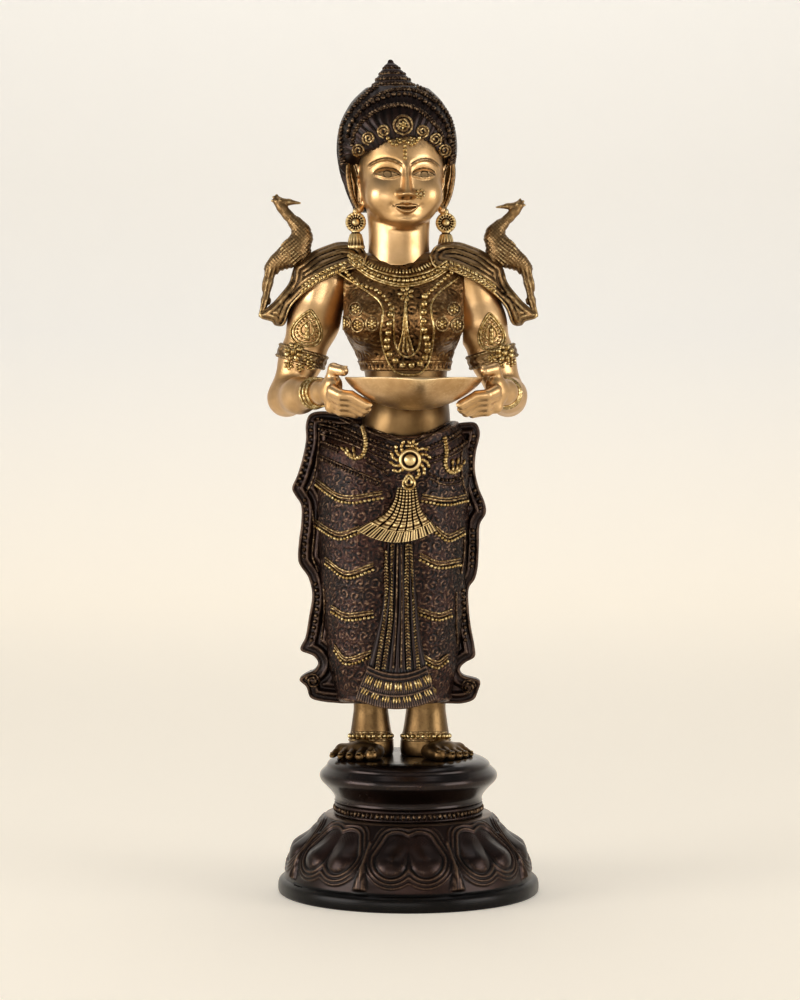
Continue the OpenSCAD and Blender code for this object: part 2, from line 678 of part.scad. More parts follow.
module arm(side) {
    color(polished) union() {
        difference() {
            union() {
                arm_core(side);
                hand(side);
            }
            shoulder_cut(side);
        }
        translate([torso_x + side * (shoulder_w + 1), shoulder_y, shoulder_z]) rotate([0, -side * 90, 0])
            cylinder(r = arm_pin_r, h = arm_pin_l + 1, $fn = 32);
    }
}

module right_arm() arm(-1);
module left_arm() arm(1);

// Band round the upper arm, cut from a swollen copy of the arm
module armlet(side) {
    band_z = shoulder_z - upper_arm_l * 0.62;
    color(polished) difference() {
        intersection() {
            arm_core(side, armlet_t);
            translate([0, 0, band_z]) cube([far, far, armlet_h], center = true);
        }
        arm_core(side);
    }
}

module right_armlet() armlet(-1);
module left_armlet() armlet(1);

// Shawl that lies over the shoulder and ends in a curled tip outside the arm
wing_x = torso_x + wing_sway;
drape_tip_z = shoulder_z - 33;
deltoid_x = shoulder_w + shoulder_out;
drape_edge_x = deltoid_x + shoulder_r;
drape_outline = [[neck_r + 8, 44], [deltoid_x, 44], [drape_edge_x + 14, 14], [drape_edge_x + 14, -36],
    [drape_edge_x + 4, -36], [deltoid_x + 16, -6], [shoulder_w + 4, 6], [neck_r + 8, 12]];

module drape_outer(side) {
    intersection() {
        union() {
            arm_core(side, drape_t);
            chain([[[wing_x + side * (neck_r + 17), shoulder_y - 1, neck_z - 3], 11],
                [[wing_x + side * (shoulder_w + deltoid_x) / 2, shoulder_y, shoulder_z + 9], shoulder_r]]);
        }
        translate([0, shoulder_y + far / 2, 0]) rotate([90, 0, 0]) linear_extrude(far)
            polygon([for (p = drape_outline) [wing_x + side * p[0], shoulder_z + p[1]]]);
    }
    tip = [[[3, 36], 1], [[9, 24], 1.1], [[19, 12], 1.1], [[30, 8], 0.6]];
    chain([for (p = tip) [[wing_x + side * (drape_edge_x + p[0][0]), shoulder_y, drape_tip_z + p[0][1]],
        drape_t * p[1]]]);
}

// The drape leaves a hollow in which the bell of the earring hangs
module shoulder_drape(side) {
    color(polished) difference() {
        drape_outer(side);
        arm_core(side);
        skin([for (z = torso_steps) torso_ring(z)]);
        in_head() translate([side * earring_x, 0, bell_z - drape_gap])
            cylinder(r = earring_r + 1 + drape_gap, h = far, $fn = 32);
    }
}

module right_shoulder_drape() shoulder_drape(-1);
module left_shoulder_drape() shoulder_drape(1);

// Long-tailed bird perched on the drape, beak towards the figure's head
module bird(side) {
    x0 = drape_edge_x;
    seat = shoulder_z + 12;
    top = seat + bird_h;
    spine = [[[x0 + 14.5, top - 1.5], 4.5], [[x0 + 11, top - 10], 4.3], [[x0 + 5.5, top - 17], 5.2],
        [[x0, top - 24], 6.5], [[x0 + 0.5, top - 33], bird_r - 1], [[x0 + 7, top - 43], bird_r],
        [[x0 + 17.5, seat + 6], 7], [[x0 + 23.5, seat - 1], 5.5], [[x0 + 26, seat - 14], 4.5],
        [[x0 + 28, seat - 27], 3.6], [[x0 + 31.5, drape_tip_z + 8], 2.6]];
    beak = [[[x0 + 13, top - 1], 3.2], [[x0, top - 2.5], 1]];
    crest = [[[x0 + 15, top - 1], 3.4], [[x0 + 19.5, top + 2.5], 2.4]];
    foot = [[[x0 + 3, seat + 8], 7], [[x0 - 4, seat - 5], 6]];
    color(polished) difference() {
        union() for (c = [spine, beak, crest, foot])
            chain([for (p = c) [[wing_x + side * p[0][0], shoulder_y, p[0][1]], p[1]]]);
        drape_outer(side);
        arm_core(side);
    }
}

module right_bird() bird(-1);
module left_bird() bird(1);

// Sections of the face and skull: height above the chin, centre, half width, front and back depth
face_rows = [
    [0, -16, 7, 8, 8],
    [skull_h * 0.05, -14, face_w * 0.5, 17, 15],
    [skull_h * 0.15, -8, face_w * 0.76, 27, 24],
    [skull_h * 0.28, -3, face_w * 0.95, 33, 32],
    [skull_h * 0.45, 0, face_w * 1.02, 36, 38],
    [skull_h * 0.62, 0, face_w * 1.02, 35, 40],
    [skull_h * 0.78, 0, face_w * 0.95, 31, 38],
    [skull_h * 0.92, 0, face_w * 0.66, 22, 28],
    [skull_h, 2, face_w * 0.25, 8, 10]];
face_steps = [for (i = [0 : 14]) skull_h * i / 14];
function face_ring(z, grow = 0) =
    let (r = row_at(face_rows, z)) oval(z, 0, r[1], r[2] + grow, r[3] + grow, r[4] + grow, 36);

module in_head() {
    translate([head_x, head_y, chin_z]) rotate(head_turn) children();
}

module skull(grow = 0) {
    skin([for (z = face_steps) face_ring(z, grow)]);
}

ear_z = 13;
ear_x = face_w + 3;

// Hanging earrings: place across, middle of the disc and foot of the bell
earring_x = ear_x + 2;
disc_z = ear_z - 1 - earring_gap - earring_r;
bell_z = disc_z - earring_r + 1 - bell_h;

module ears(grow = 0) {
    for (side = [-1, 1]) hull() {
        translate([side * (face_w + 2), 2, skull_h * 0.5]) sphere(6 + grow, $fn = ball_fn);
        translate([side * ear_x, 0, ear_z]) sphere(4.5 + grow, $fn = ball_fn);
    }
}

// Face, ears and neck with its spigot
module head() {
    color(polished) in_head() difference() {
        union() {
            skull();
            translate([0, 0, -neck_h]) rotate_extrude() polygon([[0, -neck_spigot_l],
                [neck_spigot_r, -neck_spigot_l], [neck_spigot_r, 0], [neck_r, 0], [neck_r - 1, neck_h * 0.5],
                [neck_r, neck_h], [neck_r - 3, neck_h + nape_h], [0, neck_h + nape_h]]);
            hull() {
                translate([0, -33, skull_h * 0.54]) sphere(2.5, $fn = ball_fn);
                translate([0, -36, skull_h * 0.3]) sphere(5, $fn = ball_fn);
                translate([0, -28, skull_h * 0.3]) sphere(7, $fn = ball_fn);
            }
            ears();
        }
        for (side = [-1, 1])
            translate([side * (ear_x + 3), 0, ear_z - 1 - far / 2]) cube([16, 20, far], center = true);
    }
}

// Sections of the hair dome above the chin
hair_rows = [
    [hair_h * 0.12, 12, hair_w * 0.7, 6, 24],
    [hair_h * 0.28, 8, hair_w * 0.89, 16, 38],
    [hair_h * 0.45, 4, hair_w * 0.98, 27, 46],
    [hair_h * 0.6, 2, hair_w, 34, 48],
    [hair_h * 0.75, 2, hair_w * 0.95, 36, 46],
    [hair_h * 0.88, 3, hair_w * 0.81, 31, 38],
    [hair_h * 0.94, 3.5, hair_w * 0.71, 27, 32],
    [hair_h, 4, hair_w * 0.54, 21, 24]];
hair_steps = [for (i = [0 : 13]) mix(hair_rows[0][0], hair_h, i / 13)];
finial_x = hair_lean * 2;

// Hollow dome of dressed hair that caps the skull, flat on top for the finial
module hair() {
    color(dark) in_head() difference() {
        skin([for (z = hair_steps) let (r = row_at(hair_rows, z))
            oval(z, hair_lean, r[1], r[2], r[3], r[4], 40)]);
        skull(hair_gap);
        translate([0, 0, -small]) cylinder(r = neck_r + hair_gap, h = nape_h + hair_gap);
        ears(hair_gap);
        translate([finial_x, 4, hair_h - 8]) cylinder(r = 5 + spigot_gap, h = 9);
    }
}

// Stepped cone on top of the hair
module finial() {
    r = finial_d / 2;
    color(dark) in_head() translate([finial_x, 4, hair_h]) rotate_extrude() polygon([[0, -7.5], [5, -7.5],
        [5, 0], [r, 0], [r, finial_h * 0.1], [r * 0.89, finial_h * 0.16], [r * 0.83, finial_h * 0.3],
        [r * 0.69, finial_h * 0.34], [r * 0.63, finial_h * 0.52], [r * 0.49, finial_h * 0.57],
        [r * 0.43, finial_h * 0.74], [r * 0.29, finial_h * 0.8], [r * 0.2, finial_h * 0.95], [0, finial_h]]);
}

// Disc and bell that hang from the ear
module earring(side) {
    color(polished) in_head() translate([side * earring_x, 0, 0]) {
        translate([0, 2.5, disc_z]) rotate([90, 0, 0]) cylinder(r = earring_r, h = 5);
        translate([0, 0, bell_z]) rotate_extrude() polygon([[0, 0], [earring_r + 1, 0],
            [earring_r, bell_h * 0.45], [earring_r * 0.55, bell_h], [0, bell_h]]);
    }
}

module right_earring() earring(-1);
module left_earring() earring(1);

// Round bowl with a pinched wick spout in front
function bowl_ring(share, inset) =
    let (w = bowl_w * share - inset, l = bowl_l * share - inset)
    [for (i = [0 : bowl_fn - 1]) let (a = 360 * i / bowl_fn, near = max(0, cos(a + 84)) ^ 24)
        [bowl_x + w * cos(a) + near * spout_l * share * 0.1,
         -bowl_y + l * sin(a) - near * spout_l * share ^ 3,
         bowl_z - bowl_depth * (1 - share ^ 2) ^ 0.75 + inset * (1 - share ^ 4)]];

module oil_bowl() {
    shares = [0.08, 0.3, 0.5, 0.68, 0.82, 0.92, 0.98, 1];
    inner = [1, 0.95, 0.84, 0.68, 0.45, 0.1];
    color(polished) skin(concat([for (s = shares) bowl_ring(s, 0)],
        [for (s = inner) bowl_ring(s, bowl_wall)]));
}

lotus_base();
beaded_ring();
plinth();
foot_bolts();
bolt_washers();
right_leg();
left_leg();
skirt();
right_sash();
left_sash();
front_pleats();
apron();
girdle_clasp();
torso();
right_arm();
left_arm();
right_armlet();
left_armlet();
right_shoulder_drape();
left_shoulder_drape();
right_bird();
left_bird();
head();
hair();
finial();
right_earring();
left_earring();
oil_bowl();
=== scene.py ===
import math

import bpy
import numpy as np
import openvdb
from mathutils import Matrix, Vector
from mathutils.bvhtree import BVHTree


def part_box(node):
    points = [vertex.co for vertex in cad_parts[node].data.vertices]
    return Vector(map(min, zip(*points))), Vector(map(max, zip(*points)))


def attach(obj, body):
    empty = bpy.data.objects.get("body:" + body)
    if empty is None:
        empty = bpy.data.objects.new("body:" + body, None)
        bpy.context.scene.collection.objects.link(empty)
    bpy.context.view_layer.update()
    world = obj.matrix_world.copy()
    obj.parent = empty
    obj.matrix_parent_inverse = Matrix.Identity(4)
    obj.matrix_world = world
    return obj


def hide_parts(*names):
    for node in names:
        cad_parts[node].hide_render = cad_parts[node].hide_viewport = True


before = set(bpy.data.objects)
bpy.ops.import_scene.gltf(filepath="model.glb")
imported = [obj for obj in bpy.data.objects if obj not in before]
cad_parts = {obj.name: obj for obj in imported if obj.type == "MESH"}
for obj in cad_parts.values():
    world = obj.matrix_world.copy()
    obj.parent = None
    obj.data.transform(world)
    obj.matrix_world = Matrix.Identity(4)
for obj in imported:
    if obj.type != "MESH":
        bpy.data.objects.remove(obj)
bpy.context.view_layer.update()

# Shapes are worked out in millimetres and go into Blender in metres.
MM = 0.001

# Camera of the photograph: place in mm, lens and sensor in mm, and how far it looks down.
EYE = np.array([-6.7, -2280.0, 409.0])
LENS, SENSOR = 103.4, 36.0
TILT = math.radians(2.44)
# Image in pixels: its middle, and the row that lies at the height of the camera.
IMAGE_W, IMAGE_H = 800, 1000
MID_X, MID_Y = IMAGE_W / 2, IMAGE_H / 2
EYE_ROW = 377.6
PIXEL = SENSOR / LENS / IMAGE_H


def low(node):
    """Height of a node's lowest point in mm."""
    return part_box(node)[0][2] / MM


def high(node):
    """Height of a node's highest point in mm."""
    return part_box(node)[1][2] / MM


# Seats of the castings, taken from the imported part.
SOLE, HEM, RIM = high("plinth"), low("skirt"), high("skirt")
SEAT, NECK, BOWL_Z = low("torso"), high("torso"), high("oil_bowl")
CHIN = NECK + 20
# Axes of trunk, torso, arms and shoulder drapes, and the shoulder joint.
TRUNK_Y, TORSO_X, ARM_X, WING_X = 4.0, -4.0, -9.0, -8.0
SHOULDER_Y, SHOULDER_Z = 6.0, NECK - 24
# Head: its axis and how far it is turned. Hair: its height above the chin and its place across.
HEAD_X, HEAD_Y, HEAD_TURN = -6.0, 4.0, math.radians(7)
HAIR_H, HAIR_X = 110.0, -2.5
# Bowl: its middle, half its width and length, and its depth.
BOWL_X, BOWL_Y, BOWL_W, BOWL_L, BOWL_D = 4.0, -84.0, 53.0, 43.0, 25.0


def linear(code):
    """sRGB hex to linear colour."""
    parts = [int(code[i:i + 2], 16) / 255 for i in (1, 3, 5)]
    return tuple(c / 12.92 if c <= 0.04045 else ((c + 0.055) / 1.055) ** 2.4 for c in parts) + (1.0,)


def add(tree, kind, inputs=None, **settings):
    """One node with its settings, its constants and its links."""
    node = tree.nodes.new(kind)
    for key, value in settings.items():
        setattr(node, key, value)
    for key, value in (inputs or {}).items():
        if isinstance(value, bpy.types.NodeSocket):
            tree.links.new(value, node.inputs[key])
        else:
            node.inputs[key].default_value = value
    return node


# Finishes

def aged_metal(name, deep, body, second, rubbed, rough, metallic=1.0, chased=0.0, coat=0.0, worn=True):
    """Aged metal: dark in the hollows, rubbed bright on the ridges.

    chased is the strength of a fine punched ground, 0 for a plain casting."""
    mat = bpy.data.materials.new(name)
    mat.use_nodes = True
    tree = mat.node_tree
    tree.nodes.clear()
    place = add(tree, "ShaderNodeTexCoord").outputs["Object"]
    # Blotches of about 30 mm and a cast grain of about 2 mm.
    blotch = add(tree, "ShaderNodeTexNoise",
                 {"Vector": place, "Scale": 1 / 0.030, "Detail": 4.0, "Roughness": 0.6}).outputs["Fac"]
    grain = add(tree, "ShaderNodeTexNoise",
                {"Vector": place, "Scale": 1 / 0.002, "Detail": 3.0}).outputs["Fac"]
    if worn:
        wear = add(tree, "ShaderNodeAttribute", attribute_name="wear").outputs["Fac"]
    else:
        wear = add(tree, "ShaderNodeMapRange", {"Value": grain, "From Min": 0.35, "From Max": 0.65,
                                                "To Min": 0.4, "To Max": 0.8}).outputs["Result"]
    height = add(tree, "ShaderNodeMath", {0: grain, 1: 0.12}, operation="MULTIPLY").outputs[0]
    if chased:
        # Punch marks of about 3 mm.
        leaf = add(tree, "ShaderNodeTexNoise",
                   {"Vector": place, "Scale": 1 / 0.0032, "Detail": 2.0}).outputs["Fac"]
        punched = add(tree, "ShaderNodeMapRange", {"Value": leaf, "From Min": 0.35, "From Max": 0.65,
                                                   "To Min": -chased, "To Max": chased}).outputs["Result"]
        height = add(tree, "ShaderNodeMath", {0: punched, 1: 1.2, 2: height},
                     operation="MULTIPLY_ADD").outputs[0]
        wear = add(tree, "ShaderNodeMath", {0: punched, 1: 0.3, 2: wear}, operation="MULTIPLY_ADD").outputs[0]
    speck = add(tree, "ShaderNodeMath", {0: grain, 1: 0.5}, operation="SUBTRACT").outputs[0]
    wear = add(tree, "ShaderNodeMath", {0: speck, 1: 0.3, 2: wear}, operation="MULTIPLY_ADD").outputs[0]
    mottled = add(tree, "ShaderNodeMapRange",
                  {"Value": blotch, "From Min": 0.38, "From Max": 0.66}).outputs[0]
    base = add(tree, "ShaderNodeMix", {0: mottled, 6: linear(body), 7: linear(second)},
               data_type="RGBA").outputs[2]
    hollow = add(tree, "ShaderNodeMapRange", {"Value": wear, "From Min": 0.22, "From Max": 0.46}).outputs[0]
    sunk = add(tree, "ShaderNodeMix", {0: hollow, 6: linear(deep), 7: base}, data_type="RGBA").outputs[2]
    ridged = add(tree, "ShaderNodeMapRange", {"Value": wear, "From Min": 0.58, "From Max": 0.85}).outputs[0]
    colour = add(tree, "ShaderNodeMix", {0: ridged, 6: sunk, 7: linear(rubbed)}, data_type="RGBA").outputs[2]
    gloss = add(tree, "ShaderNodeMapRange", {"Value": blotch, "From Min": 0.3, "From Max": 0.7,
                                             "To Min": rough - 0.05, "To Max": rough + 0.1}).outputs[0]
    relief = add(tree, "ShaderNodeBump", {"Strength": 0.6, "Distance": 0.4 * MM, "Height": height}).outputs[0]
    shader = add(tree, "ShaderNodeBsdfPrincipled", {
        "Base Color": colour, "Metallic": metallic, "Roughness": gloss, "Normal": relief,
        "Coat Weight": coat, "Coat Roughness": 0.25})
    add(tree, "ShaderNodeOutputMaterial", {"Surface": shader.outputs[0]})
    return mat


# Skin and bowl: buffed brass, pale gold with olive and brown stains, a soft mirror.
BUFFED = aged_metal("buffed_brass", "#33220f", "#d6b081", "#b58f5f", "#eccf9f", 0.32)
# Belly, legs and feet: the same brass, darker: a browner patina on the legs and feet, and on the belly
# painted shade from the bowl and arms above it.
DULLED_SHADED = aged_metal("dulled_shaded_brass", "#1e140a", "#735a3a", "#5c452a", "#957d57", 0.34)
# Drapes, armlets and birds: antiqued brass, brown ground with bright edges.
ANTIQUE = aged_metal("antiqued_brass", "#1a120c", "#72593b", "#846845", "#dcc28c", 0.36)
# Bodice: the same brass with a punched ground.
CHASED = aged_metal("chased_antiqued_brass", "#1a110a", "#66492c", "#785936", "#cdae78", 0.36, chased=0.4)
# Hair, sashes and pedestal: near-black brown patina under wax, a little lighter where it is handled.
PATINA = aged_metal("dark_patina", "#070504", "#1c110d", "#2a1812", "#604a39", 0.32, metallic=0.85, coat=0.12)
# Plinth: the same patina, polished by wiping.
WIPED = aged_metal("wiped_dark_patina", "#060404", "#160c09", "#22120d", "#4d3a2c", 0.2, metallic=0.85,
                   coat=0.3)
# Skirt: the same patina over a punched ground, copper-red where it thins.
SCROLLED = aged_metal("chased_dark_patina", "#060404", "#1b0f0a", "#331b14", "#6b523f", 0.36, metallic=0.85,
                      chased=0.7, coat=0.08)
# Beads and bands: rubbed yellow brass.
GILT = aged_metal("rubbed_bead_brass", "#3c2a14", "#ab8c55", "#8c7042", "#ead49c", 0.3, worn=False)
# Beads of the skirt: half rubbed.
BRONZE = aged_metal("half_rubbed_bead_brass", "#150d09", "#7a6040", "#57412c", "#c8ae7c", 0.34, worn=False)
# Beads of the hair, the sashes and the pedestal: smoke-brown, barely rubbed.
SMOKED = aged_metal("smoked_bead_brass", "#0a0705", "#3a2b20", "#271b15", "#7d664e", 0.34, worn=False)
# Bolts and washers: plain turned steel.
STEEL = aged_metal("turned_steel", "#55565a", "#8f9194", "#7d7f83", "#b5b7ba", 0.38, worn=False)


# Curves, fields and meshes

def along(keys, z):
    """Smooth curve through key rows: the first column is the place."""
    keys = np.asarray(keys, float)
    x, y = keys[:, 0], keys[:, 1:]
    lead = np.r_[1:len(x), len(x) - 1]
    lag = np.r_[0, 0:len(x) - 1]
    m = (y[lead] - y[lag]) / (x[lead] - x[lag])[:, None]
    z = np.clip(np.asarray(z, float), x[0], x[-1])
    k = np.clip(np.searchsorted(x, z, "right") - 1, 0, len(x) - 2)
    h = (x[k + 1] - x[k])[..., None]
    t = ((z - x[k])[..., None]) / h
    return (y[k] * (1 + 2 * t) * (1 - t) ** 2 + y[k + 1] * t * t * (3 - 2 * t)
            + h * t * (1 - t) * (m[k] * (1 - t) - m[k + 1] * t))


def run_along(points):
    """Distance along a line to each of its points."""
    return np.r_[0, np.cumsum(np.linalg.norm(np.diff(points, axis=0), axis=1))]


def rounded(points, per=6):
    """Smooth curve through points, by arc length."""
    pts = np.asarray(points, float)
    s = run_along(pts)
    return along(np.c_[s, pts], np.linspace(0, s[-1], max(2, int(len(pts) * per))))


def step(start, end, x):
    """Smooth step from 0 at start to 1 at end."""
    t = np.clip((x - start) / (end - start), 0, 1)
    return t * t * (3 - 2 * t)


def bump(d, width):
    """Bell of height 1 about 0."""
    return np.exp(-(d / width) ** 2)


def melt(a, b, k):
    """Union of two fields with a fillet of about k mm."""
    h = np.maximum(k - np.abs(a - b), 0) / k
    return np.minimum(a, b) - h * h * k * 0.25


def meet(a, b, k):
    """Common part of two fields, with the edge between them rounded over about k mm."""
    return np.maximum(a, b) + np.maximum(k - np.abs(a - b), 0) ** 2 / (4 * k)


def scrolls(u, v, wide):
    """Relief of chased spirals, one in each cell of a staggered grid, that wind left and right by turns."""
    row = np.floor(v / wide)
    across = u / wide + 0.5 * (row % 2)
    column = np.floor(across)
    x, y = across - column - 0.5, v / wide - row - 0.5
    hand = 1 - 2 * ((row + column) % 2)
    away = np.hypot(x, y)
    curl = np.cos(away * 2 * math.pi * 3.3 + np.arctan2(y, x * hand))
    return curl * step(0.54, 0.42, away) + 0.9 * bump(away - 0.66, 0.07)


def ball(p, c, r):
    """Field of a ball: distance to its surface, negative inside."""
    return np.linalg.norm(p - np.asarray(c, p.dtype), axis=-1) - r


def egg(p, c, r):
    """Field of an egg with three half axes."""
    q = p - np.asarray(c, p.dtype)
    r = np.asarray(r, p.dtype)
    k0 = np.linalg.norm(q / r, axis=-1)
    k1 = np.linalg.norm(q / (r * r), axis=-1) + 1e-9
    return k0 * (k0 - 1) / k1


def limb(p, a, b, ra, rb):
    """Field of a round limb that tapers from one end to the other."""
    a, b = np.asarray(a, p.dtype), np.asarray(b, p.dtype)
    ab = b - a
    t = np.clip((p - a) @ ab / (ab @ ab), 0, 1)
    return np.linalg.norm(p - a - t[:, None] * ab, axis=-1) - (ra + (rb - ra) * t)


def limbs(p, rows, k=3.0):
    """Chain of tapered limbs through rows of (place, radius)."""
    d = None
    for (a, ra), (b, rb) in zip(rows, rows[1:]):
        one = limb(p, a, b, ra, rb)
        d = one if d is None else melt(d, one, k)
    return d


def ovals(p, rows, cx=0.0, cy=0.0):
    """Field of oval sections.

    A row is a height, the centre across, half the width, the front and back depth and the centre along."""
    r = along(rows, p[:, 2])
    x = (p[:, 0] - cx - r[:, 0]) / r[:, 1]
    y = p[:, 1] - cy - r[:, 4]
    y = y / np.where(y < 0, r[:, 2], r[:, 3])
    d = (np.sqrt(x * x + y * y) - 1) * np.minimum(r[:, 1], np.minimum(r[:, 2], r[:, 3]))
    return np.maximum(d, np.maximum(rows[0][0] - p[:, 2], p[:, 2] - rows[-1][0]))


def outline_field(points, x, z):
    """Signed distance to a closed outline, negative inside."""
    pts = np.asarray(points, float)
    d = np.full(x.shape, 1e9)
    inside = np.zeros(x.shape, bool)
    for (x0, z0), (x1, z1) in zip(pts, np.roll(pts, -1, axis=0)):
        ex, ez = x1 - x0, z1 - z0
        t = np.clip(((x - x0) * ex + (z - z0) * ez) / (ex * ex + ez * ez + 1e-12), 0, 1)
        d = np.minimum(d, (x - x0 - t * ex) ** 2 + (z - z0 - t * ez) ** 2)
        rise = ez if abs(ez) > 1e-9 else 1e-9
        inside ^= ((z0 <= z) != (z1 <= z)) & (x < x0 + (z - z0) * ex / rise)
    return np.sqrt(d) * np.where(inside, -1, 1)


def carve(field, start, end, cell, margin=2.5):
    """Mesh of a field's zero surface: vertices in mm and quads.

    Only blocks near the surface are worked out."""
    side = 12
    start = np.asarray(start, float)
    blocks = np.ceil((np.asarray(end, float) - start) / (cell * side)).astype(int)
    centre = np.stack(np.meshgrid(*[np.arange(n) for n in blocks], indexing="ij"), -1).reshape(-1, 3)
    d = field((start + (centre + 0.5) * side * cell).astype(np.float32))
    band = 3 * cell
    values = np.repeat(np.where(d > 0, band, -band).astype(np.float32), side ** 3)
    values = values.reshape(-1, side, side, side)
    near = np.flatnonzero(np.abs(d) < side * cell * 1.15 + margin)
    grid = np.stack(np.meshgrid(*[np.arange(side)] * 3, indexing="ij"), -1).reshape(1, -1, 3)
    for part in np.array_split(near, max(1, len(near) // 400)):
        p = (start + (centre[part][:, None] * side + grid) * cell).astype(np.float32)
        values[part] = np.clip(field(p.reshape(-1, 3)), -band, band).reshape(-1, side, side, side)
    dense = values.reshape(*blocks, side, side, side).transpose(0, 3, 1, 4, 2, 5).reshape(blocks * side)
    volume = openvdb.FloatGrid(background=band)
    volume.copyFromArray(np.ascontiguousarray(dense))
    points, quads = volume.convertToQuads(isovalue=0.0)
    points = np.asarray(points, float) * cell + start
    quads = np.asarray(quads, np.int64)
    a, b, c = points[quads[:, 0]], points[quads[:, 1]], points[quads[:, 2]]
    if np.einsum("ij,ij->i", a, np.cross(b, c)).sum() < 0:
        quads = quads[:, ::-1]
    return points, quads


def lattice(p, wrap_u=False, wrap_v=False):
    """Quads of a grid of points, u along the first axis."""
    nu, nv = p.shape[:2]
    i = np.arange(nu if wrap_u else nu - 1)
    j = np.arange(nv if wrap_v else nv - 1)
    i, j = [a.ravel() for a in np.meshgrid(i, j, indexing="ij")]
    i1, j1 = (i + 1) % nu, (j + 1) % nv
    return p.reshape(-1, 3), np.stack([i * nv + j, i1 * nv + j, i1 * nv + j1, i * nv + j1], 1)


def spun(profile, n=160):
    """Points of a profile of (radius, height) turned about Z, and the angle of each row."""
    profile = np.asarray(profile, float)
    a = np.linspace(0, 2 * math.pi, n, endpoint=False)
    p = np.stack([np.outer(np.cos(a), profile[:, 0]), np.outer(np.sin(a), profile[:, 0]),
                  np.broadcast_to(profile[:, 1], (n, len(profile)))], -1)
    return p, a


def joined(*parts):
    """One mesh of several parts of vertices and quads."""
    start = np.cumsum([0] + [len(v) for v, f in parts])
    return np.concatenate([v for v, f in parts]), np.concatenate([f + s for (v, f), s in zip(parts, start)])


def normals(v, f):
    """Way out at each vertex."""
    n = np.cross(v[f[:, 2]] - v[f[:, 0]], v[f[:, 3]] - v[f[:, 1]])
    out = np.zeros_like(v)
    for k in range(4):
        for axis in range(3):
            out[:, axis] += np.bincount(f[:, k], n[:, axis], len(v))
    return out / (np.linalg.norm(out, axis=1, keepdims=True) + 1e-12)


def neighbour_mean(values, f):
    """Mean of the values at each vertex's neighbours."""
    count = np.zeros(len(values))
    total = np.zeros_like(values)
    for k in range(4):
        a, b = f[:, k], f[:, (k + 1) % 4]
        for s, t in ((a, b), (b, a)):
            count += np.bincount(s, minlength=len(values))
            if values.ndim == 1:
                total += np.bincount(s, values[t], len(values))
            else:
                for axis in range(3):
                    total[:, axis] += np.bincount(s, values[t, axis], len(values))
    count = np.maximum(count, 1)
    return total / (count if values.ndim == 1 else count[:, None])


def rubbing(v, f, gain, spread=3):
    """Wear from the surface itself: 0.5 on the flat, more on ridges, less in hollows."""
    n = normals(v, f)
    bend = np.einsum("ij,ij->i", v - neighbour_mean(v, f), n)
    for _ in range(spread):
        bend = 0.4 * bend + 0.6 * neighbour_mean(bend, f)
    return np.clip(0.5 + gain * bend, 0, 1)


def outward(v, f):
    """Quads of a closed mesh, turned so that its faces look outwards."""
    a, b, c, d = [v[f[:, k]] for k in range(4)]
    volume = np.einsum("ij,ij->i", a, np.cross(b, c) + np.cross(c, d)).sum()
    return f if volume > 0 else f[:, ::-1]


def piece(name, v, f, mat, slot, stands_for=(), gain=3.0, spread=3, more=0.0, body="figure"):
    """Blender object from vertices in mm and quads; it rides on a body and may stand for nodes.

    Its wear comes from its own ridges and hollows. Returns the surface, for lines that lie on it."""
    f = outward(v, f)
    wear = np.clip(rubbing(v, f, gain, spread) + more, 0, 1)
    mesh = bpy.data.meshes.new(name)
    mesh.vertices.add(len(v))
    mesh.vertices.foreach_set("co", (v * MM).astype(np.float32).ravel())
    mesh.loops.add(f.size)
    mesh.loops.foreach_set("vertex_index", f.astype(np.int32).ravel())
    mesh.polygons.add(len(f))
    mesh.polygons.foreach_set("loop_start", np.arange(0, f.size, 4, dtype=np.int32))
    mesh.polygons.foreach_set("use_smooth", np.ones(len(f), bool))
    mesh.attributes.new("wear", "FLOAT", "POINT").data.foreach_set("value", wear.astype(np.float32))
    mesh.update(calc_edges=True)
    mesh.validate()
    seat(bpy.data.objects.new(name, mesh), mat, stands_for, body)
    return BVHTree.FromPolygons(v.tolist(), f.tolist())


def seat(ob, mat, stands_for=(), body="figure"):
    """Puts a finished object in the scene, on its body and in its material slot."""
    bpy.context.scene.collection.objects.link(ob)
    if not ob.data.materials:
        ob.data.materials.append(mat)
    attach(ob, body)
    if stands_for:
        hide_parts(*stands_for)


# Lines of sight, beads and cords

def photo_xz(px, py, y=0.0):
    """Place across and height of a pixel of the photograph on the plane at depth y."""
    reach = (y - EYE[1]) * PIXEL
    return EYE[0] + (px - MID_X) * reach, EYE[2] - (py - EYE_ROW) * reach


def sight(px, py):
    """Way of the line of sight through a pixel of the photograph."""
    ahead = np.array([0, math.cos(TILT), -math.sin(TILT)])
    up = np.array([0, math.sin(TILT), math.cos(TILT)])
    way = ahead + np.array([1.0, 0, 0]) * (px - MID_X) * PIXEL - up * (py - MID_Y) * PIXEL
    return way / np.linalg.norm(way)


def cast(trees, pixels, lift=0.4, behind=False, per=6):
    """Line on the castings under a curve of pixels: its places, raised by lift, and the way out at each.

    From behind, the same curve is seen by a camera on the other side."""
    flip = np.array([1, -1, 1]) if behind else np.ones(3)
    places, outs = [], []
    for px, py in rounded(pixels, per):
        way = sight(px, py) * flip
        hits = [tree.ray_cast(Vector(EYE * flip), Vector(way)) for tree in trees]
        hits = [hit for hit in hits if hit[0] is not None]
        if hits:
            place, out = min(hits, key=lambda hit: hit[3])[:2]
            out = np.array(out) * (-1 if np.dot(out, way) > 0 else 1)
            places.append(np.array(place) + out * lift)
            outs.append(out)
    return np.array(places), np.array(outs)


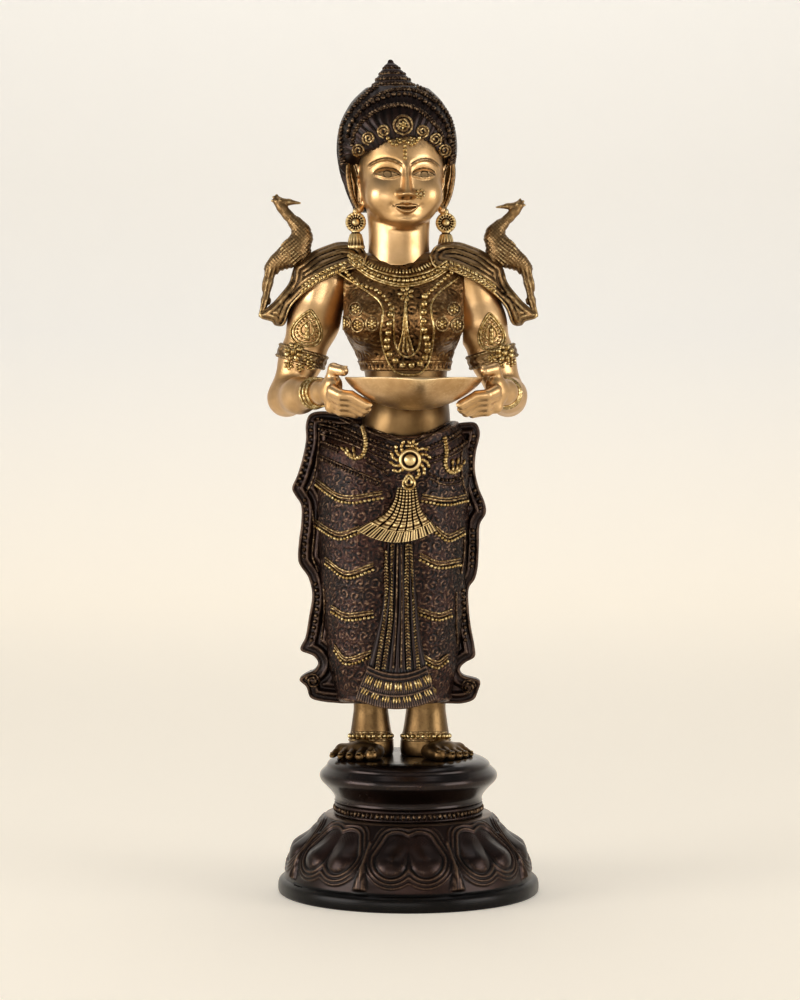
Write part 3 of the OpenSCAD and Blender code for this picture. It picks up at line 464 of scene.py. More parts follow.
def spaced(line, pitch):
    """Even places on a line, about pitch apart, with the ways out and along."""
    p, out = line
    s = run_along(p)
    t = np.linspace(0, s[-1], max(2, int(round(s[-1] / pitch)) + 1))
    q = np.stack([np.interp(t, s, p[:, k]) for k in range(3)], 1)
    o = np.stack([np.interp(t, s, out[:, k]) for k in range(3)], 1)
    return q, o, np.gradient(q, axis=0)


def beads(line, pitch, size, slant=0.0, aside=0.0):
    """Rows for studs along a line: size is along, across and out; slant turns each bead on the surface."""
    if len(line[0]) < 3:
        return np.zeros((0, 12))
    q, out, way = spaced(line, pitch)
    out = out / (np.linalg.norm(out, axis=1, keepdims=True) + 1e-9)
    way = way / (np.linalg.norm(way, axis=1, keepdims=True) + 1e-9)
    across = np.cross(out, way)
    turn = math.radians(slant)
    size = np.broadcast_to(np.asarray(size, float), q.shape)
    return np.c_[q + across * aside, out, way * math.cos(turn) + across * math.sin(turn), size]


def rosette(trees, centre, radius, petals, heart, petal, behind=False, lift=0.3):
    """Flower of studs about a pixel: a heart and petals that point away from it."""
    middle, out = cast(trees, [centre, (centre[0] + 0.01, centre[1])], lift, behind, 1)
    if len(middle) == 0:
        return np.zeros((0, 12))
    rows = [np.r_[middle[0], out[0], [1, 0, 0.01], [heart, heart, heart * 0.8]]]
    for k in range(petals):
        a = 2 * math.pi * (k + 0.5) / petals
        spot = (centre[0] + radius * math.cos(a), centre[1] + radius * math.sin(a))
        place, way_out = cast(trees, [spot, (spot[0] + 0.01, spot[1])], lift, behind, 1)
        if len(place) and np.linalg.norm(place[0] - middle[0]) < radius * 3:
            rows.append(np.r_[place[0], way_out[0], place[0] - middle[0], petal])
    return np.array(rows)


def ring(centre, axis, radius, n=48):
    """Closed line round an axis, with the ways out."""
    axis = np.asarray(axis, float) / np.linalg.norm(axis)
    side = np.cross(axis, [0.3, 0.5, 1.0])
    side = side / np.linalg.norm(side)
    up = np.cross(axis, side)
    a = np.linspace(0, 2 * math.pi, n)[:, None]
    out = np.cos(a) * side + np.sin(a) * up
    return np.asarray(centre) + radius * out, out


def spiral(centre, radius, turns=1.6, start=0.0, hand=1):
    """Pixels of a curl that winds inwards."""
    t = np.linspace(0, 1, 14)
    a = start + hand * t * turns * 2 * math.pi
    r = radius * (1 - 0.8 * t)
    return np.stack([centre[0] + r * np.cos(a), centre[1] + r * np.sin(a)], 1)


def teardrop(tip, foot, width, share):
    """Pixels of a drop with its point at the tip, shrunk about its middle."""
    tip, foot = np.array(tip, float), np.array(foot, float)
    t = np.linspace(0, 2 * math.pi, 25)
    reach = np.cos(t)[:, None]
    half = (0.72 * np.sin(t) * (0.5 - 0.5 * np.cos(t) + 0.02) ** 0.45)[:, None]
    axis = (tip - foot) / 2
    across = np.array([-axis[1], axis[0]]) / np.linalg.norm(axis)
    return (tip + foot) / 2 + share * (axis * reach + across * half * width)


def open_tree(name, sockets):
    """Empty Geometry Nodes tree with named inputs, and its input node."""
    tree = bpy.data.node_groups.new(name, "GeometryNodeTree")
    tree.interface.new_socket("Geometry", in_out="OUTPUT", socket_type="NodeSocketGeometry")
    tree.interface.new_socket("Geometry", in_out="INPUT", socket_type="NodeSocketGeometry")
    for key, kind in sockets.items():
        tree.interface.new_socket(key, in_out="INPUT", socket_type=kind)
    return tree, add(tree, "NodeGroupInput").outputs


def close_tree(tree, geometry, finish):
    """Smooths what a tree has made, makes it real and gives it its finish."""
    smooth = add(tree, "GeometryNodeSetShadeSmooth", {"Geometry": geometry}).outputs[0]
    real = add(tree, "GeometryNodeRealizeInstances", {"Geometry": smooth}).outputs[0]
    done = add(tree, "GeometryNodeSetMaterial", {"Geometry": real, "Material": finish}).outputs[0]
    add(tree, "NodeGroupOutput", {"Geometry": done})
    return tree


def stud_tree():
    """A rounded stud on every point, as large as its size, standing out and turned along."""
    tree, given = open_tree("studs", {"Sides": "NodeSocketInt", "Rings": "NodeSocketInt",
                                      "Finish": "NodeSocketMaterial"})
    out, way, size = [add(tree, "GeometryNodeInputNamedAttribute", {"Name": key},
                          data_type="FLOAT_VECTOR").outputs[0] for key in ("out", "way", "size")]
    shape = add(tree, "GeometryNodeMeshUVSphere", {"Segments": given["Sides"], "Rings": given["Rings"],
                                                   "Radius": 1.0}).outputs[0]
    stand = add(tree, "FunctionNodeAlignRotationToVector", {"Vector": out}, axis="Z").outputs[0]
    turn = add(tree, "FunctionNodeAlignRotationToVector", {"Rotation": stand, "Vector": way},
               axis="X", pivot_axis="Z").outputs[0]
    copies = add(tree, "GeometryNodeInstanceOnPoints", {"Points": given["Geometry"], "Instance": shape,
                                                        "Rotation": turn, "Scale": size}).outputs[0]
    return close_tree(tree, copies, given["Finish"])


def cord_tree():
    """A round cord along every line."""
    tree, given = open_tree("cords", {"Radius": "NodeSocketFloat", "Sides": "NodeSocketInt",
                                      "Finish": "NodeSocketMaterial"})
    path = add(tree, "GeometryNodeMeshToCurve", {"Mesh": given["Geometry"]}).outputs[0]
    section = add(tree, "GeometryNodeCurvePrimitiveCircle", {"Resolution": given["Sides"],
                                                             "Radius": given["Radius"]}).outputs[0]
    tube = add(tree, "GeometryNodeCurveToMesh", {"Curve": path, "Profile Curve": section,
                                                 "Fill Caps": True}).outputs[0]
    return close_tree(tree, tube, given["Finish"])


STUDS, CORDS = stud_tree(), cord_tree()


def grown(name, tree, inputs, points, edges=(), vectors=None):
    """Object whose plain mesh a Geometry Nodes tree grew on points or lines."""
    seed = bpy.data.meshes.new(name + "_path")
    seed.from_pydata((points * MM).tolist(), [tuple(e) for e in edges], [])
    for key, values in (vectors or {}).items():
        data = np.ascontiguousarray(values, dtype=np.float32).ravel()
        seed.attributes.new(key, "FLOAT_VECTOR", "POINT").data.foreach_set("vector", data)
    carrier = bpy.data.objects.new(name + "_path", seed)
    bpy.context.scene.collection.objects.link(carrier)
    modifier = carrier.modifiers.new("grow", "NODES")
    modifier.node_group = tree
    for socket in tree.interface.items_tree:
        if socket.in_out == "INPUT" and socket.name in inputs:
            modifier[socket.identifier] = inputs[socket.name]
    mesh = bpy.data.meshes.new_from_object(carrier.evaluated_get(bpy.context.evaluated_depsgraph_get()))
    mesh.name = name
    bpy.data.objects.remove(carrier)
    bpy.data.meshes.remove(seed)
    return bpy.data.objects.new(name, mesh)


def studs(name, rows, mat, sides=8, rings=5):
    """One piece of studs: each row is a place, the ways out and along, and the size."""
    rows = np.concatenate(rows)
    vectors = {"out": rows[:, 3:6], "way": rows[:, 6:9], "size": rows[:, 9:] * MM}
    inputs = {"Sides": sides, "Rings": rings, "Finish": mat}
    seat(grown(name, STUDS, inputs, rows[:, :3], (), vectors), mat)


def cords(name, lines, radius, mat, sides=8):
    """One piece of round cords along lines."""
    lines = [p for p, out in lines if len(p) > 2]
    start = np.cumsum([0] + [len(p) for p in lines])
    edges = [(s + k, s + k + 1) for p, s in zip(lines, start) for k in range(len(p) - 1)]
    inputs = {"Radius": radius * MM, "Sides": sides, "Finish": mat}
    seat(grown(name, CORDS, inputs, np.concatenate(lines), edges), mat)


# Pedestal

def pedestal():
    """Lotus dome: eight petals of two bulging lobes in a double border, with fluted fans between them."""
    outer = rounded([(66, 62), (71, 55.5), (77, 48.5), (82.4, 43), (89.4, 35.5), (94.6, 28), (97.4, 20),
                     (98.6, 14.5)], 12)
    rim = rounded([(99.2, 12.4), (101, 11.6), (103, 9.8), (103.8, 7.2), (103.9, 3), (103.4, 0.8),
                   (102.4, 0)], 5)
    inside = np.array([(99.8, 0), (98, 6), (91, 11), (85, 26), (70, 43), (60, 53), (56, 56), (20, 56),
                       (0.01, 56)])
    top = np.array([(0.01, 60), (47, 60), (47.2, 62)])
    p, a = spun(np.r_[top, outer, rim, inside], 560)
    first, last = len(top), len(top) + len(outer)
    run = run_along(outer)
    slope = np.gradient(outer, axis=0)
    out = np.c_[-slope[:, 1], slope[:, 0]] / np.linalg.norm(slope, axis=1)[:, None]
    turn = (a + math.pi / 2 + math.pi / 8) % (math.pi / 4) - math.pi / 8
    x = np.abs(turn[:, None] * outer[None, :, 0])
    up = np.broadcast_to(run[-1] - run, x.shape)
    flat = np.stack([x, up, np.zeros_like(x)], -1).reshape(-1, 3)
    # Petal: two bulging lobes with raised borders round them and a hatched tip between.
    right, left = [limb(flat, (hand * 13.8, 25, 0), (hand * 8.6, 41, 0), 12.2, 9) for hand in (1, -1)]
    lobe = melt(right, left, 3).reshape(x.shape)
    lift = 4.6 * np.sqrt(np.clip(-lobe / 10, 0, 1)) * (1 - 0.7 * step(20, 40, up))
    lift = lift + 1.7 * (bump(lobe - 2.8, 1.1) + bump(lobe - 6.2, 1.1) + 0.7 * bump(lobe - 9.2, 0.9))
    lift = lift + 0.4 * np.cos(x * 2.2) * np.cos(up * 2.2) * step(-1, -3, lobe) * step(38, 44, up)
    # Fluted fans fill the gaps between the petals.
    gap = outer[None, :, 0] * math.pi / 8 - x
    fan_w = 1.6 + 5.2 * np.clip(1 - up / 28, 0, 1) ** 1.5
    fan = np.clip(1 - (gap / fan_w) ** 4, 0, 1) * step(46, 40, up)
    lift = np.maximum(lift, fan * (2.3 + 0.6 * np.cos(gap / fan_w * 5 * math.pi)))
    lift = lift * step(0, 2.5, up) * step(0, 4, run)
    p[:, first:last, 0] += np.cos(a)[:, None] * out[:, 0] * lift
    p[:, first:last, 1] += np.sin(a)[:, None] * out[:, 0] * lift
    p[:, first:last, 2] += out[:, 1] * lift
    # The rim is kept darker than the petals.
    more = np.zeros(p.shape[:2])
    more[:, last:] = -0.3
    piece("lotus_pedestal", *lattice(p, wrap_u=True), PATINA, "dark_patina", ["lotus_base"], gain=2.4,
          more=more.ravel())


def plinth():
    """Waisted drum with a rolled rim, and the ring of upright beads under it."""
    side = rounded([(59, 73), (58.6, 75), (59.6, 78), (62.6, 82), (66, 85.5), (68.8, 88.3), (70.3, 90.6),
                    (70.8, 93), (70, 95.6), (67.4, 98.4), (65.2, 100.6), (64.6, 102.4), (63.4, 103.8),
                    (60.6, 105.6), (57, 107), (52, 108)], 8)
    under = np.array([(0.01, 102), (40, 102), (41, 62.2), (47.6, 62.2), (56.5, 72.3)])
    p, a = spun(np.r_[under, side, [(30, 108), (0.01, 108)]], 180)
    piece("waisted_plinth", *lattice(p, wrap_u=True), WIPED, "dark_patina", ["plinth"], gain=3.0)
    seat_ring = rounded([(47.8, 62.2), (57, 62.2), (59, 62.8), (59.4, 64), (58.6, 65), (58.2, 67), (58.6, 69),
                         (59.2, 70.2), (58.6, 71.6), (56, 71.9), (47.8, 71.9)], 4)
    p, a = spun(np.r_[seat_ring, seat_ring[:1]], 160)
    piece("bead_seat", *lattice(p, wrap_u=True), PATINA, "dark_patina", ["beaded_ring"], gain=1.5, more=-0.1)
    n = 88
    turn = np.arange(n) * 2 * math.pi / n
    spread = np.stack([np.cos(turn), np.sin(turn), np.zeros(n)], 1)
    rows = []
    for radius, height, size in ((58.4, 67, (2.5, 1.5, 1.9)), (57.4, 74.4, (0.9, 1.7, 0.9))):
        places = spread * radius + (0, 0, height)
        rows.append(np.c_[places, spread, np.tile([0, 0, 1], (n, 1)), np.tile(size, (n, 1))])
    studs("upright_beads", rows, SMOKED)


pedestal()
plinth()


# Feet

LEG_Y = 9.0
# Right and left leg: place across and radius of the calf.
LEGS = ((-30.0, 14.0), (14.0, 16.0))


def foot(name, node, leg, side, splay):
    """Ankle that widens to the foot, a low instep and five toes with nails; splay is in degrees."""
    x0, calf = leg
    turn = math.radians(side * splay)
    c, s = math.cos(turn), math.sin(turn)
    toe_r = (5.6, 4.5, 4.0, 3.4, 2.9)
    tips = (46.5, 47, 44.5, 40.5, 35.5)

    def field(p):
        dx, dy = p[:, 0] - x0, p[:, 1] - LEG_Y
        q = np.stack([(dx * c + dy * s) * -side, -dx * s + dy * c, p[:, 2] - SOLE], -1)
        # Ankle, instep and the ball of the foot.
        d = limbs(q, [((0, 1, 4), calf + 3.4), ((0, 1, 9), calf + 2.6), ((0, 0, 17), calf + 0.6),
                      ((0, 0, 26), calf - 0.6), ((0, 0, 46), calf)], 5)
        d = melt(d, limb(q, (0, -6, 5), (1, -26, 4.5), 9.8, 8), 5)
        d = melt(d, limb(q, (12.5, -28, 4.8), (-16, -22, 4.2), 7.8, 6.4), 7)
        # Each toe ends in a nail with a groove round it.
        for i, (r, tip) in enumerate(zip(toe_r, tips)):
            root = (14.0 - i * 7.6, -24 + abs(i - 1) * 1.6, 5.6 - i * 0.3)
            knuckle = (15.0 - i * 8.4, -34 + abs(i - 1) * 2.2, 5.4 - i * 0.3)
            end = (15.8 - i * 9.0, -tip + r, r - 0.8)
            d = melt(d, limbs(q, [(root, r), (knuckle, r), (end, r * 0.92)], 1.2), 1.2)
            bed = (end[0], end[1] - r * 0.42, end[2] + r * 0.66)
            d = np.maximum(d, 0.25 - np.abs(egg(q, bed, (r * 0.72, r * 0.8, 1.5))))
            d = np.minimum(d, egg(q, bed, (r * 0.6, r * 0.68, 0.9)))
        return np.maximum(d, 0.05 - q[:, 2])

    v, f = carve(field, (x0 - 48, LEG_Y - 56, SOLE - 2), (x0 + 48, LEG_Y + 26, HEM + 3), cell=0.8)
    piece(name, v, f, DULLED_SHADED, "polished_brass", [node], gain=2.0, more=-0.06)


foot("right_foot", "right_leg", LEGS[0], side=-1, splay=20)
foot("left_foot", "left_leg", LEGS[1], side=1, splay=35)


# Skirt and drapery

# Sections from hem to waist: height, centre across, half width, front and back depth, centre along.
SKIRT = [(HEM, -11.25, 45, 34, 34, TRUNK_Y), (HEM + 24.4, -12.25, 51, 37, 35, TRUNK_Y),
         (HEM + 64.4, -12, 56, 40, 38, TRUNK_Y), (HEM + 115.4, -12, 59.5, 43, 41, TRUNK_Y),
         (HEM + 170.9, -12, 61, 45, 45, TRUNK_Y), (HEM + 202, -11, 60, 43, 45, TRUNK_Y),
         (HEM + 214.2, -8, 52, 42, 38, TRUNK_Y), (RIM, -3, 42.5, 42, 31, TRUNK_Y)]

# Hanging folds: start, lowest point and end, in pixels, for both legs.
SWAGS = [((316, 481), (343, 498), (382, 494)), ((315, 522), (339, 535), (359, 529)),
         ((326, 560), (347, 574), (373, 566)), ((332, 608), (347, 616), (373, 613)),
         ((335, 647), (346, 660), (371, 653)), ((422, 497), (446, 501), (467, 497)),
         ((436, 529), (448, 537), (464, 530)), ((420, 556), (438, 564), (460, 561)),
         ((417, 610), (438, 616), (451, 612)), ((422, 657), (437, 664), (447, 657))]


def skirt_front(x, z):
    """How far forward the plain front of the skirt lies."""
    r = along(SKIRT, np.maximum(z, HEM))
    return TRUNK_Y - r[..., 2] * np.sqrt(np.clip(1 - ((x - r[..., 0]) / r[..., 1]) ** 2, 0, 1))


def skirt():
    """Draped skirt: thighs press through the cloth, hanging folds in front and long folds behind."""
    a = np.linspace(0, 2 * math.pi, 340, endpoint=False)
    z = np.linspace(HEM, RIM, 230)
    r = along(SKIRT, z)
    ca, sa = np.cos(a)[:, None], np.sin(a)[:, None]
    x = r[:, 0] + r[:, 1] * ca
    y = TRUNK_Y + np.where(sa < 0, r[:, 2], r[:, 3]) * sa
    z = np.broadcast_to(z, x.shape)
    height = (z - HEM) / (RIM - HEM)
    thighs = 2.6 * (bump(x + 38, 17) + bump(x - 16, 17)) - 3.0 * bump(x + 9, 9)
    thighs = thighs * step(0, 0.25, height) * step(0.94, 0.69, height) * np.abs(sa)
    # The chased scrolls wander, as hand work does.
    arc = a[:, None] * 54
    across = arc + 3 * np.sin(z / 11) + 2 * np.sin(z / 4.3)
    chasing = scrolls(across, z + 3 * np.sin(arc / 13) + 1.5 * np.sin(arc / 5), 10.5)
    folds = 0.36 * chasing * step(0.02, 0.06, height) * step(0.9, 0.84, height)
    for swag in SWAGS:
        xs, zs = np.transpose([photo_xz(px, py, -32) for px, py in swag])
        reach = step(xs[0] - 3, xs[0] + 4, x) * step(xs[2] + 3, xs[2] - 4, x)
        up = z - np.polyval(np.polyfit(xs, zs, 2), x)
        folds = folds + 1.7 * reach * step(-0.7, 0.5, up) * np.exp(-np.clip(up, 0, 99) / 9)
    lift = thighs + folds * step(0, 0.35, np.abs(sa))
    lift = lift + 1.3 * np.cos(14 * a)[:, None] * step(0.3, -0.5, -sa) * step(RIM - 8, RIM - 50, z)
    lift = lift + 1.4 * bump(z - HEM - 2.5, 2.0) * step(0, 1.5, z - HEM)
    x, y = x + ca * lift, y + sa * lift
    share = np.clip(height - 0.7, 0, 1) / 0.3
    z = z - 13 * share * np.clip((TRUNK_Y - y) / 45, 0, 1) ** 1.5
    p = np.stack([x, y, z], -1)
    # The hem is closed below, and the waist has a lip that goes down inside.
    hem_mid, rim_mid = p[:, :1].mean(0), p[:, -1:].mean(0)
    cap = np.concatenate([hem_mid + (p[:, :1] - hem_mid) * k for k in (0.001, 0.5, 0.97)], 1)
    cap[:, :, 2] = HEM + 0.4
    lip = np.concatenate([rim_mid + (p[:, -1:] - rim_mid) * k + (0, 0, rise)
                          for k, rise in ((0.95, 0.8), (0.88, -0.5), (0.8, -9), (0.001, -9))], 1)
    p = np.concatenate([cap, p, lip], 1)
    return piece("draped_skirt", *lattice(p, wrap_u=True), SCROLLED, "dark_patina", ["skirt"], gain=2.2,
                 spread=1, more=-0.05)


SKIRT_FACE = skirt()


def folded_sash(name, node, edge, inner_x):
    """Hanging end of a sash: a rounded slab with rolled edges and lengthwise folds."""
    pts = rounded([photo_xz(px, py, 3) for px, py in edge], 5)
    shape = np.r_[pts, [(inner_x, pts[-1][1]), (inner_x, pts[0][1])]]
    (x0, z0), (x1, z1) = shape.min(0), shape.max(0)

    def field(p):
        d = outline_field(shape, p[:, 0].astype(float), p[:, 2].astype(float))
        fold = 1.5 * np.cos(d * 2 * math.pi / 7.5) * bump(d + 9, 12) + 0.8 * np.cos(p[:, 2] / 9 + d / 5)
        slab = np.abs(p[:, 1] - TRUNK_Y) - (7.0 + fold)
        return meet(d, slab, 3)

    v, f = carve(field, (x0 - 2, -9, z0 - 4), (x1 + 2, 17, z1 + 4), cell=1.0)
    return piece(name, v, f, PATINA, "dark_patina", [node], gain=1.9)


# Outer edges of the sashes from waist to hem, in pixels.
RIGHT_EDGE = [
    (340, 413), (322, 411), (310, 414), (306, 424), (306, 440), (302, 460), (297, 476), (292, 488),
    (295, 495), (301, 505), (301, 525), (299, 540), (298, 560), (301, 567), (308, 577), (312, 594),
    (309, 616), (305, 638), (300, 650), (313, 656), (318, 663), (314, 670), (305, 674), (299, 680),
    (306, 687), (310, 698), (322, 702), (342, 704)]
LEFT_EDGE = [
    (452, 424), (466, 422), (476, 423), (480, 433), (476, 452), (475, 470), (479, 488), (485, 503),
    (486, 513), (480, 524), (479, 545), (478, 566), (475, 579), (469, 588), (469, 608), (471, 626),
    (475, 648), (475, 657), (465, 663), (460, 669), (463, 675), (480, 681), (478, 692), (474, 700),
    (462, 704), (450, 704)]
RIGHT_SASH = folded_sash("right_sash_fold", "right_sash", RIGHT_EDGE, inner_x=-30)
LEFT_SASH = folded_sash("left_sash_fold", "left_sash", LEFT_EDGE, inner_x=8)


def pleat_panel(name, node, slot, mat, rows, relief, depth, sag, front, flare):
    """Panel on the skirt between two edges, given in pixels from top to hem; relief gives its folds and wear.

    depth is the plane of the edges, front is where the panel hangs, flare is how much further forward its hem
    is, and sag how much lower the hem is in the middle."""
    edges = np.array([(py, *[photo_xz(px, py, depth)[0] for px in (x0, x1)]) for py, x0, x1 in rows])
    top_z, low_z = [photo_xz(MID_X, row[0], depth)[1] for row in (rows[0], rows[-1])]
    edges[:, 0] = (edges[:, 0] - rows[0][0]) / (rows[-1][0] - rows[0][0])
    count = 130
    u = np.linspace(-1, 1, count)[:, None]
    t = np.linspace(0, 1, count)[None, :]
    side = along(edges, t)
    x = side[..., 0] + (side[..., 1] - side[..., 0]) * (u + 1) / 2
    z = top_z + (low_z - sag * (1 - u * u) - top_z) * t
    fold, wear = relief(u, t)
    lie = skirt_front(x, z)
    y = np.minimum(lie - 3.4, front - flare * t ** 2 + 3.5 * u * u) - fold
    back = np.stack([x, np.broadcast_to(lie - 0.3, x.shape), z], -1)
    p = np.concatenate([np.stack([x, y, z], -1), back[:, ::-1]], 1)
    # The two sides are closed by a strip between front and back.
    v, f = lattice(p, wrap_v=True)
    m = p.shape[1]
    j = np.arange(count - 1)
    strip = np.stack([j, j + 1, m - 2 - j, m - 1 - j], 1)
    f = np.r_[f, strip, strip[:, ::-1] + (count - 1) * m]
    more = np.concatenate([np.broadcast_to(wear - 0.5, x.shape), np.full(x.shape, -0.2)], 1)
    return piece(name, v, f, mat, slot, [node], gain=2.3, spread=1, more=more.ravel())


def long_pleats(u, t):
    """Folds and wear of the long panel: straight pleats with a fluted fan in two tiers at the foot."""
    fan = step(0.795, 0.815, t)
    folds = 1.5 * np.abs(np.cos(math.pi * 4.5 * u)) * (1 - 0.8 * fan)
    rows = bump(t - 0.815, 0.006) + bump(t - 0.84, 0.006) + bump(t - 0.93, 0.006)
    tiers = step(0.85, 0.86, t) * step(0.925, 0.915, t) + step(0.94, 0.95, t)
    flutes = np.abs(np.cos(math.pi * 17 * u)) * tiers
    return folds + 0.8 * rows + 0.9 * flutes + 1.2 * fan, 0.34 + 0.2 * flutes + 0.35 * rows


def short_fan(u, t):
    """Folds and wear of the apron: columns with rungs over a band of fluted blocks."""
    columns = np.abs(np.cos(math.pi * 3.5 * u)) ** 0.7
    lit = step(0.35, 0.6, columns)
    rungs = 0.5 + 0.5 * np.cos(2 * math.pi * t * 17)
    band = step(0.8, 0.82, t)
    rows = bump(t - 0.68, 0.014) + bump(t - 0.80, 0.014)
    blocks = step(0.25, 0.5, np.abs(np.cos(math.pi * 4.5 * u)))
    flutes = np.abs(np.cos(math.pi * 13.5 * u)) * blocks * band
    wear = 0.12 + (1 - band) * lit * (0.2 + 0.45 * rungs) + band * (0.12 + 0.6 * flutes) + 0.3 * rows
    return 1.8 * columns * (1 - band) + 0.5 * rungs * lit * (1 - band) + 0.8 * (flutes + rows + band), wear


# Both panels from top to hem, in pixels: a row and the columns of the two edges.
FALL_EDGES = [(524, 389, 412), (560, 386, 414), (600, 383, 417), (640, 375, 421), (670, 367, 427),
              (690, 359, 433), (700, 356, 437)]
FAN_EDGES = [(488, 397, 417), (500, 394, 419), (510, 388, 422), (517, 379, 427), (524, 366, 433),
             (530, 356, 437)]
PLEATS = pleat_panel("front_pleat_fall", "front_pleats", "dark_patina", PATINA, FALL_EDGES, long_pleats,
                     depth=-45, sag=7.5, front=-42, flare=6)
APRON = pleat_panel("apron_fan", "apron", "antique_brass", ANTIQUE, FAN_EDGES, short_fan,
                    depth=-48, sag=9.5, front=-45.5, flare=5)


# Torso

# Sections from the waist up: height, centre across, half width, front and back depth, centre along.
TORSO = [(SEAT, -3, 36, 33, 25, TRUNK_Y), (SEAT + 12.6, -3, 36, 36, 25, TRUNK_Y),
         (SEAT + 28.4, -2, 35, 38, 24, TRUNK_Y), (SEAT + 45.8, -2, 33.5, 36, 22, TRUNK_Y),
         (SEAT + 60.8, -2, 32.5, 33, 21, TRUNK_Y), (SEAT + 77.4, -3, 37, 33, 22, TRUNK_Y),
         (SEAT + 96.4, -4, 45.5, 37, 25, TRUNK_Y), (SEAT + 112.2, -4, 52, 38, 27, TRUNK_Y),
         (SEAT + 129.6, -4, 55, 34, 28, TRUNK_Y), (SEAT + 143.8, -5, 52, 26, 25, TRUNK_Y),
         (SEAT + 152.5, -5, 42, 21, 21, TRUNK_Y), (NECK, -5, 27, 17, 18, TRUNK_Y)]
SHOULDER_W = 47.0


def trunk_field(p):
    """Trunk with breasts, navel and a crease over the belly."""
    d = ovals(p, TORSO)
    for side in (-1, 1):
        d = melt(d, egg(p, (TORSO_X + side * 24.5, -21.5, 454.5), (22.5, 23.5, 22.5)), 7)
    d = np.maximum(d, -egg(p, (-1.5, -36.5, 386), (2.2, 6, 2.8)))
    crease = p[:, 2] - 397 - 0.004 * (p[:, 0] + 2) ** 2
    return d + 0.5 * bump(crease, 0.7) * (p[:, 1] < 0)


def torso():
    """Bare trunk, cut flat where the arms join."""
    def field(p):
        return np.maximum(trunk_field(p), np.abs(p[:, 0] - TORSO_X) - SHOULDER_W)

    v, f = carve(field, (-54, -50, SEAT - 1), (46, 36, NECK + 2), cell=1.2)
    # The belly takes the darker brass: painted shade under the bowl and arms.
    return piece("bare_torso", v, f, DULLED_SHADED, "polished_brass", ["torso"], gain=1.2)


def bodice():
    """Fitted bodice: a chased skin over the chest with a double hem, a lozenge band and a round neckline."""
    hem_row, chest_y = 371, -33
    hem_z = photo_xz(MID_X, hem_row, chest_y)[1]

    def field(p):
        up = p[:, 2] - hem_z
        round_arc = np.arctan2(p[:, 0] - TORSO_X, TRUNK_Y - p[:, 1]) * 40
        cell = round_arc / 5
        lozenge = step(0.2, 0.5, np.abs(cell - np.round(cell)) + np.abs(up - 4.2) / 6)
        thick = 1.1 + 0.8 * bump(up - 1.2, 0.8) + 0.8 * bump(up - 7.4, 0.8)
        thick = thick + 0.5 * lozenge * step(1.6, 2.2, up) * step(7.0, 6.4, up)
        thick = thick + 0.24 * scrolls(round_arc, p[:, 2], 12.0) * step(9, 12, up) * step(76, 70, up)
        d = np.maximum(trunk_field(p) - thick, -up)
        neckline = p[:, 2] - NECK + 9 - 0.006 * (p[:, 0] - TORSO_X) ** 2
        return np.maximum(d, np.maximum(neckline, np.abs(p[:, 0] - TORSO_X) - SHOULDER_W - 0.2))

    v, f = carve(field, (-54, -50, hem_z - 2), (46, 36, NECK + 4), cell=0.8)
    # The bodice is kept darker down its middle, between the chains.
    return piece("chased_bodice", v, f, CHASED, "antique_brass", gain=2.1, spread=1,
                 more=-0.14 * bump(v[:, 0] + 1, 15))


TORSO_FACE = torso()
BODICE = bodice()


# Arms, hands and bowl

def arm_rows(side):
    """Centres and radii from the shoulder to the wrist."""
    sx, ex = ARM_X + side * 57, ARM_X + side * 88
    elbow = np.array([ex, SHOULDER_Y, SHOULDER_Z - 91])
    wrist = np.array([BOWL_X + side * (BOWL_W + 17), BOWL_Y + 21, BOWL_Z - 11])
    fore = elbow + (wrist - elbow) * 0.42
    return [((sx, SHOULDER_Y, SHOULDER_Z), 20),
            ((sx + (ex - sx) * 0.3, SHOULDER_Y + 1, SHOULDER_Z - 31), 19.3),
            ((sx + (ex - sx) * 0.62, SHOULDER_Y + 2, SHOULDER_Z - 60), 16.5), (tuple(elbow), 13.6),
            ((fore[0] + side * 1.5, fore[1], 395), 13.2), (tuple(wrist), 9.5)]


def bowl_under(x):
    """Height of the bowl's underside at a distance from its middle."""
    return BOWL_Z - BOWL_D * np.clip(1 - (x / BOWL_W) ** 2, 0, 1) ** 0.75


def rest_under(x, r):
    """Height of the centre of a round finger that lies under the bowl."""
    rise = (bowl_under(x + 1) - bowl_under(x - 1)) / 2
    return float(bowl_under(x) - (r + 0.5) * math.sqrt(1 + rise * rise))


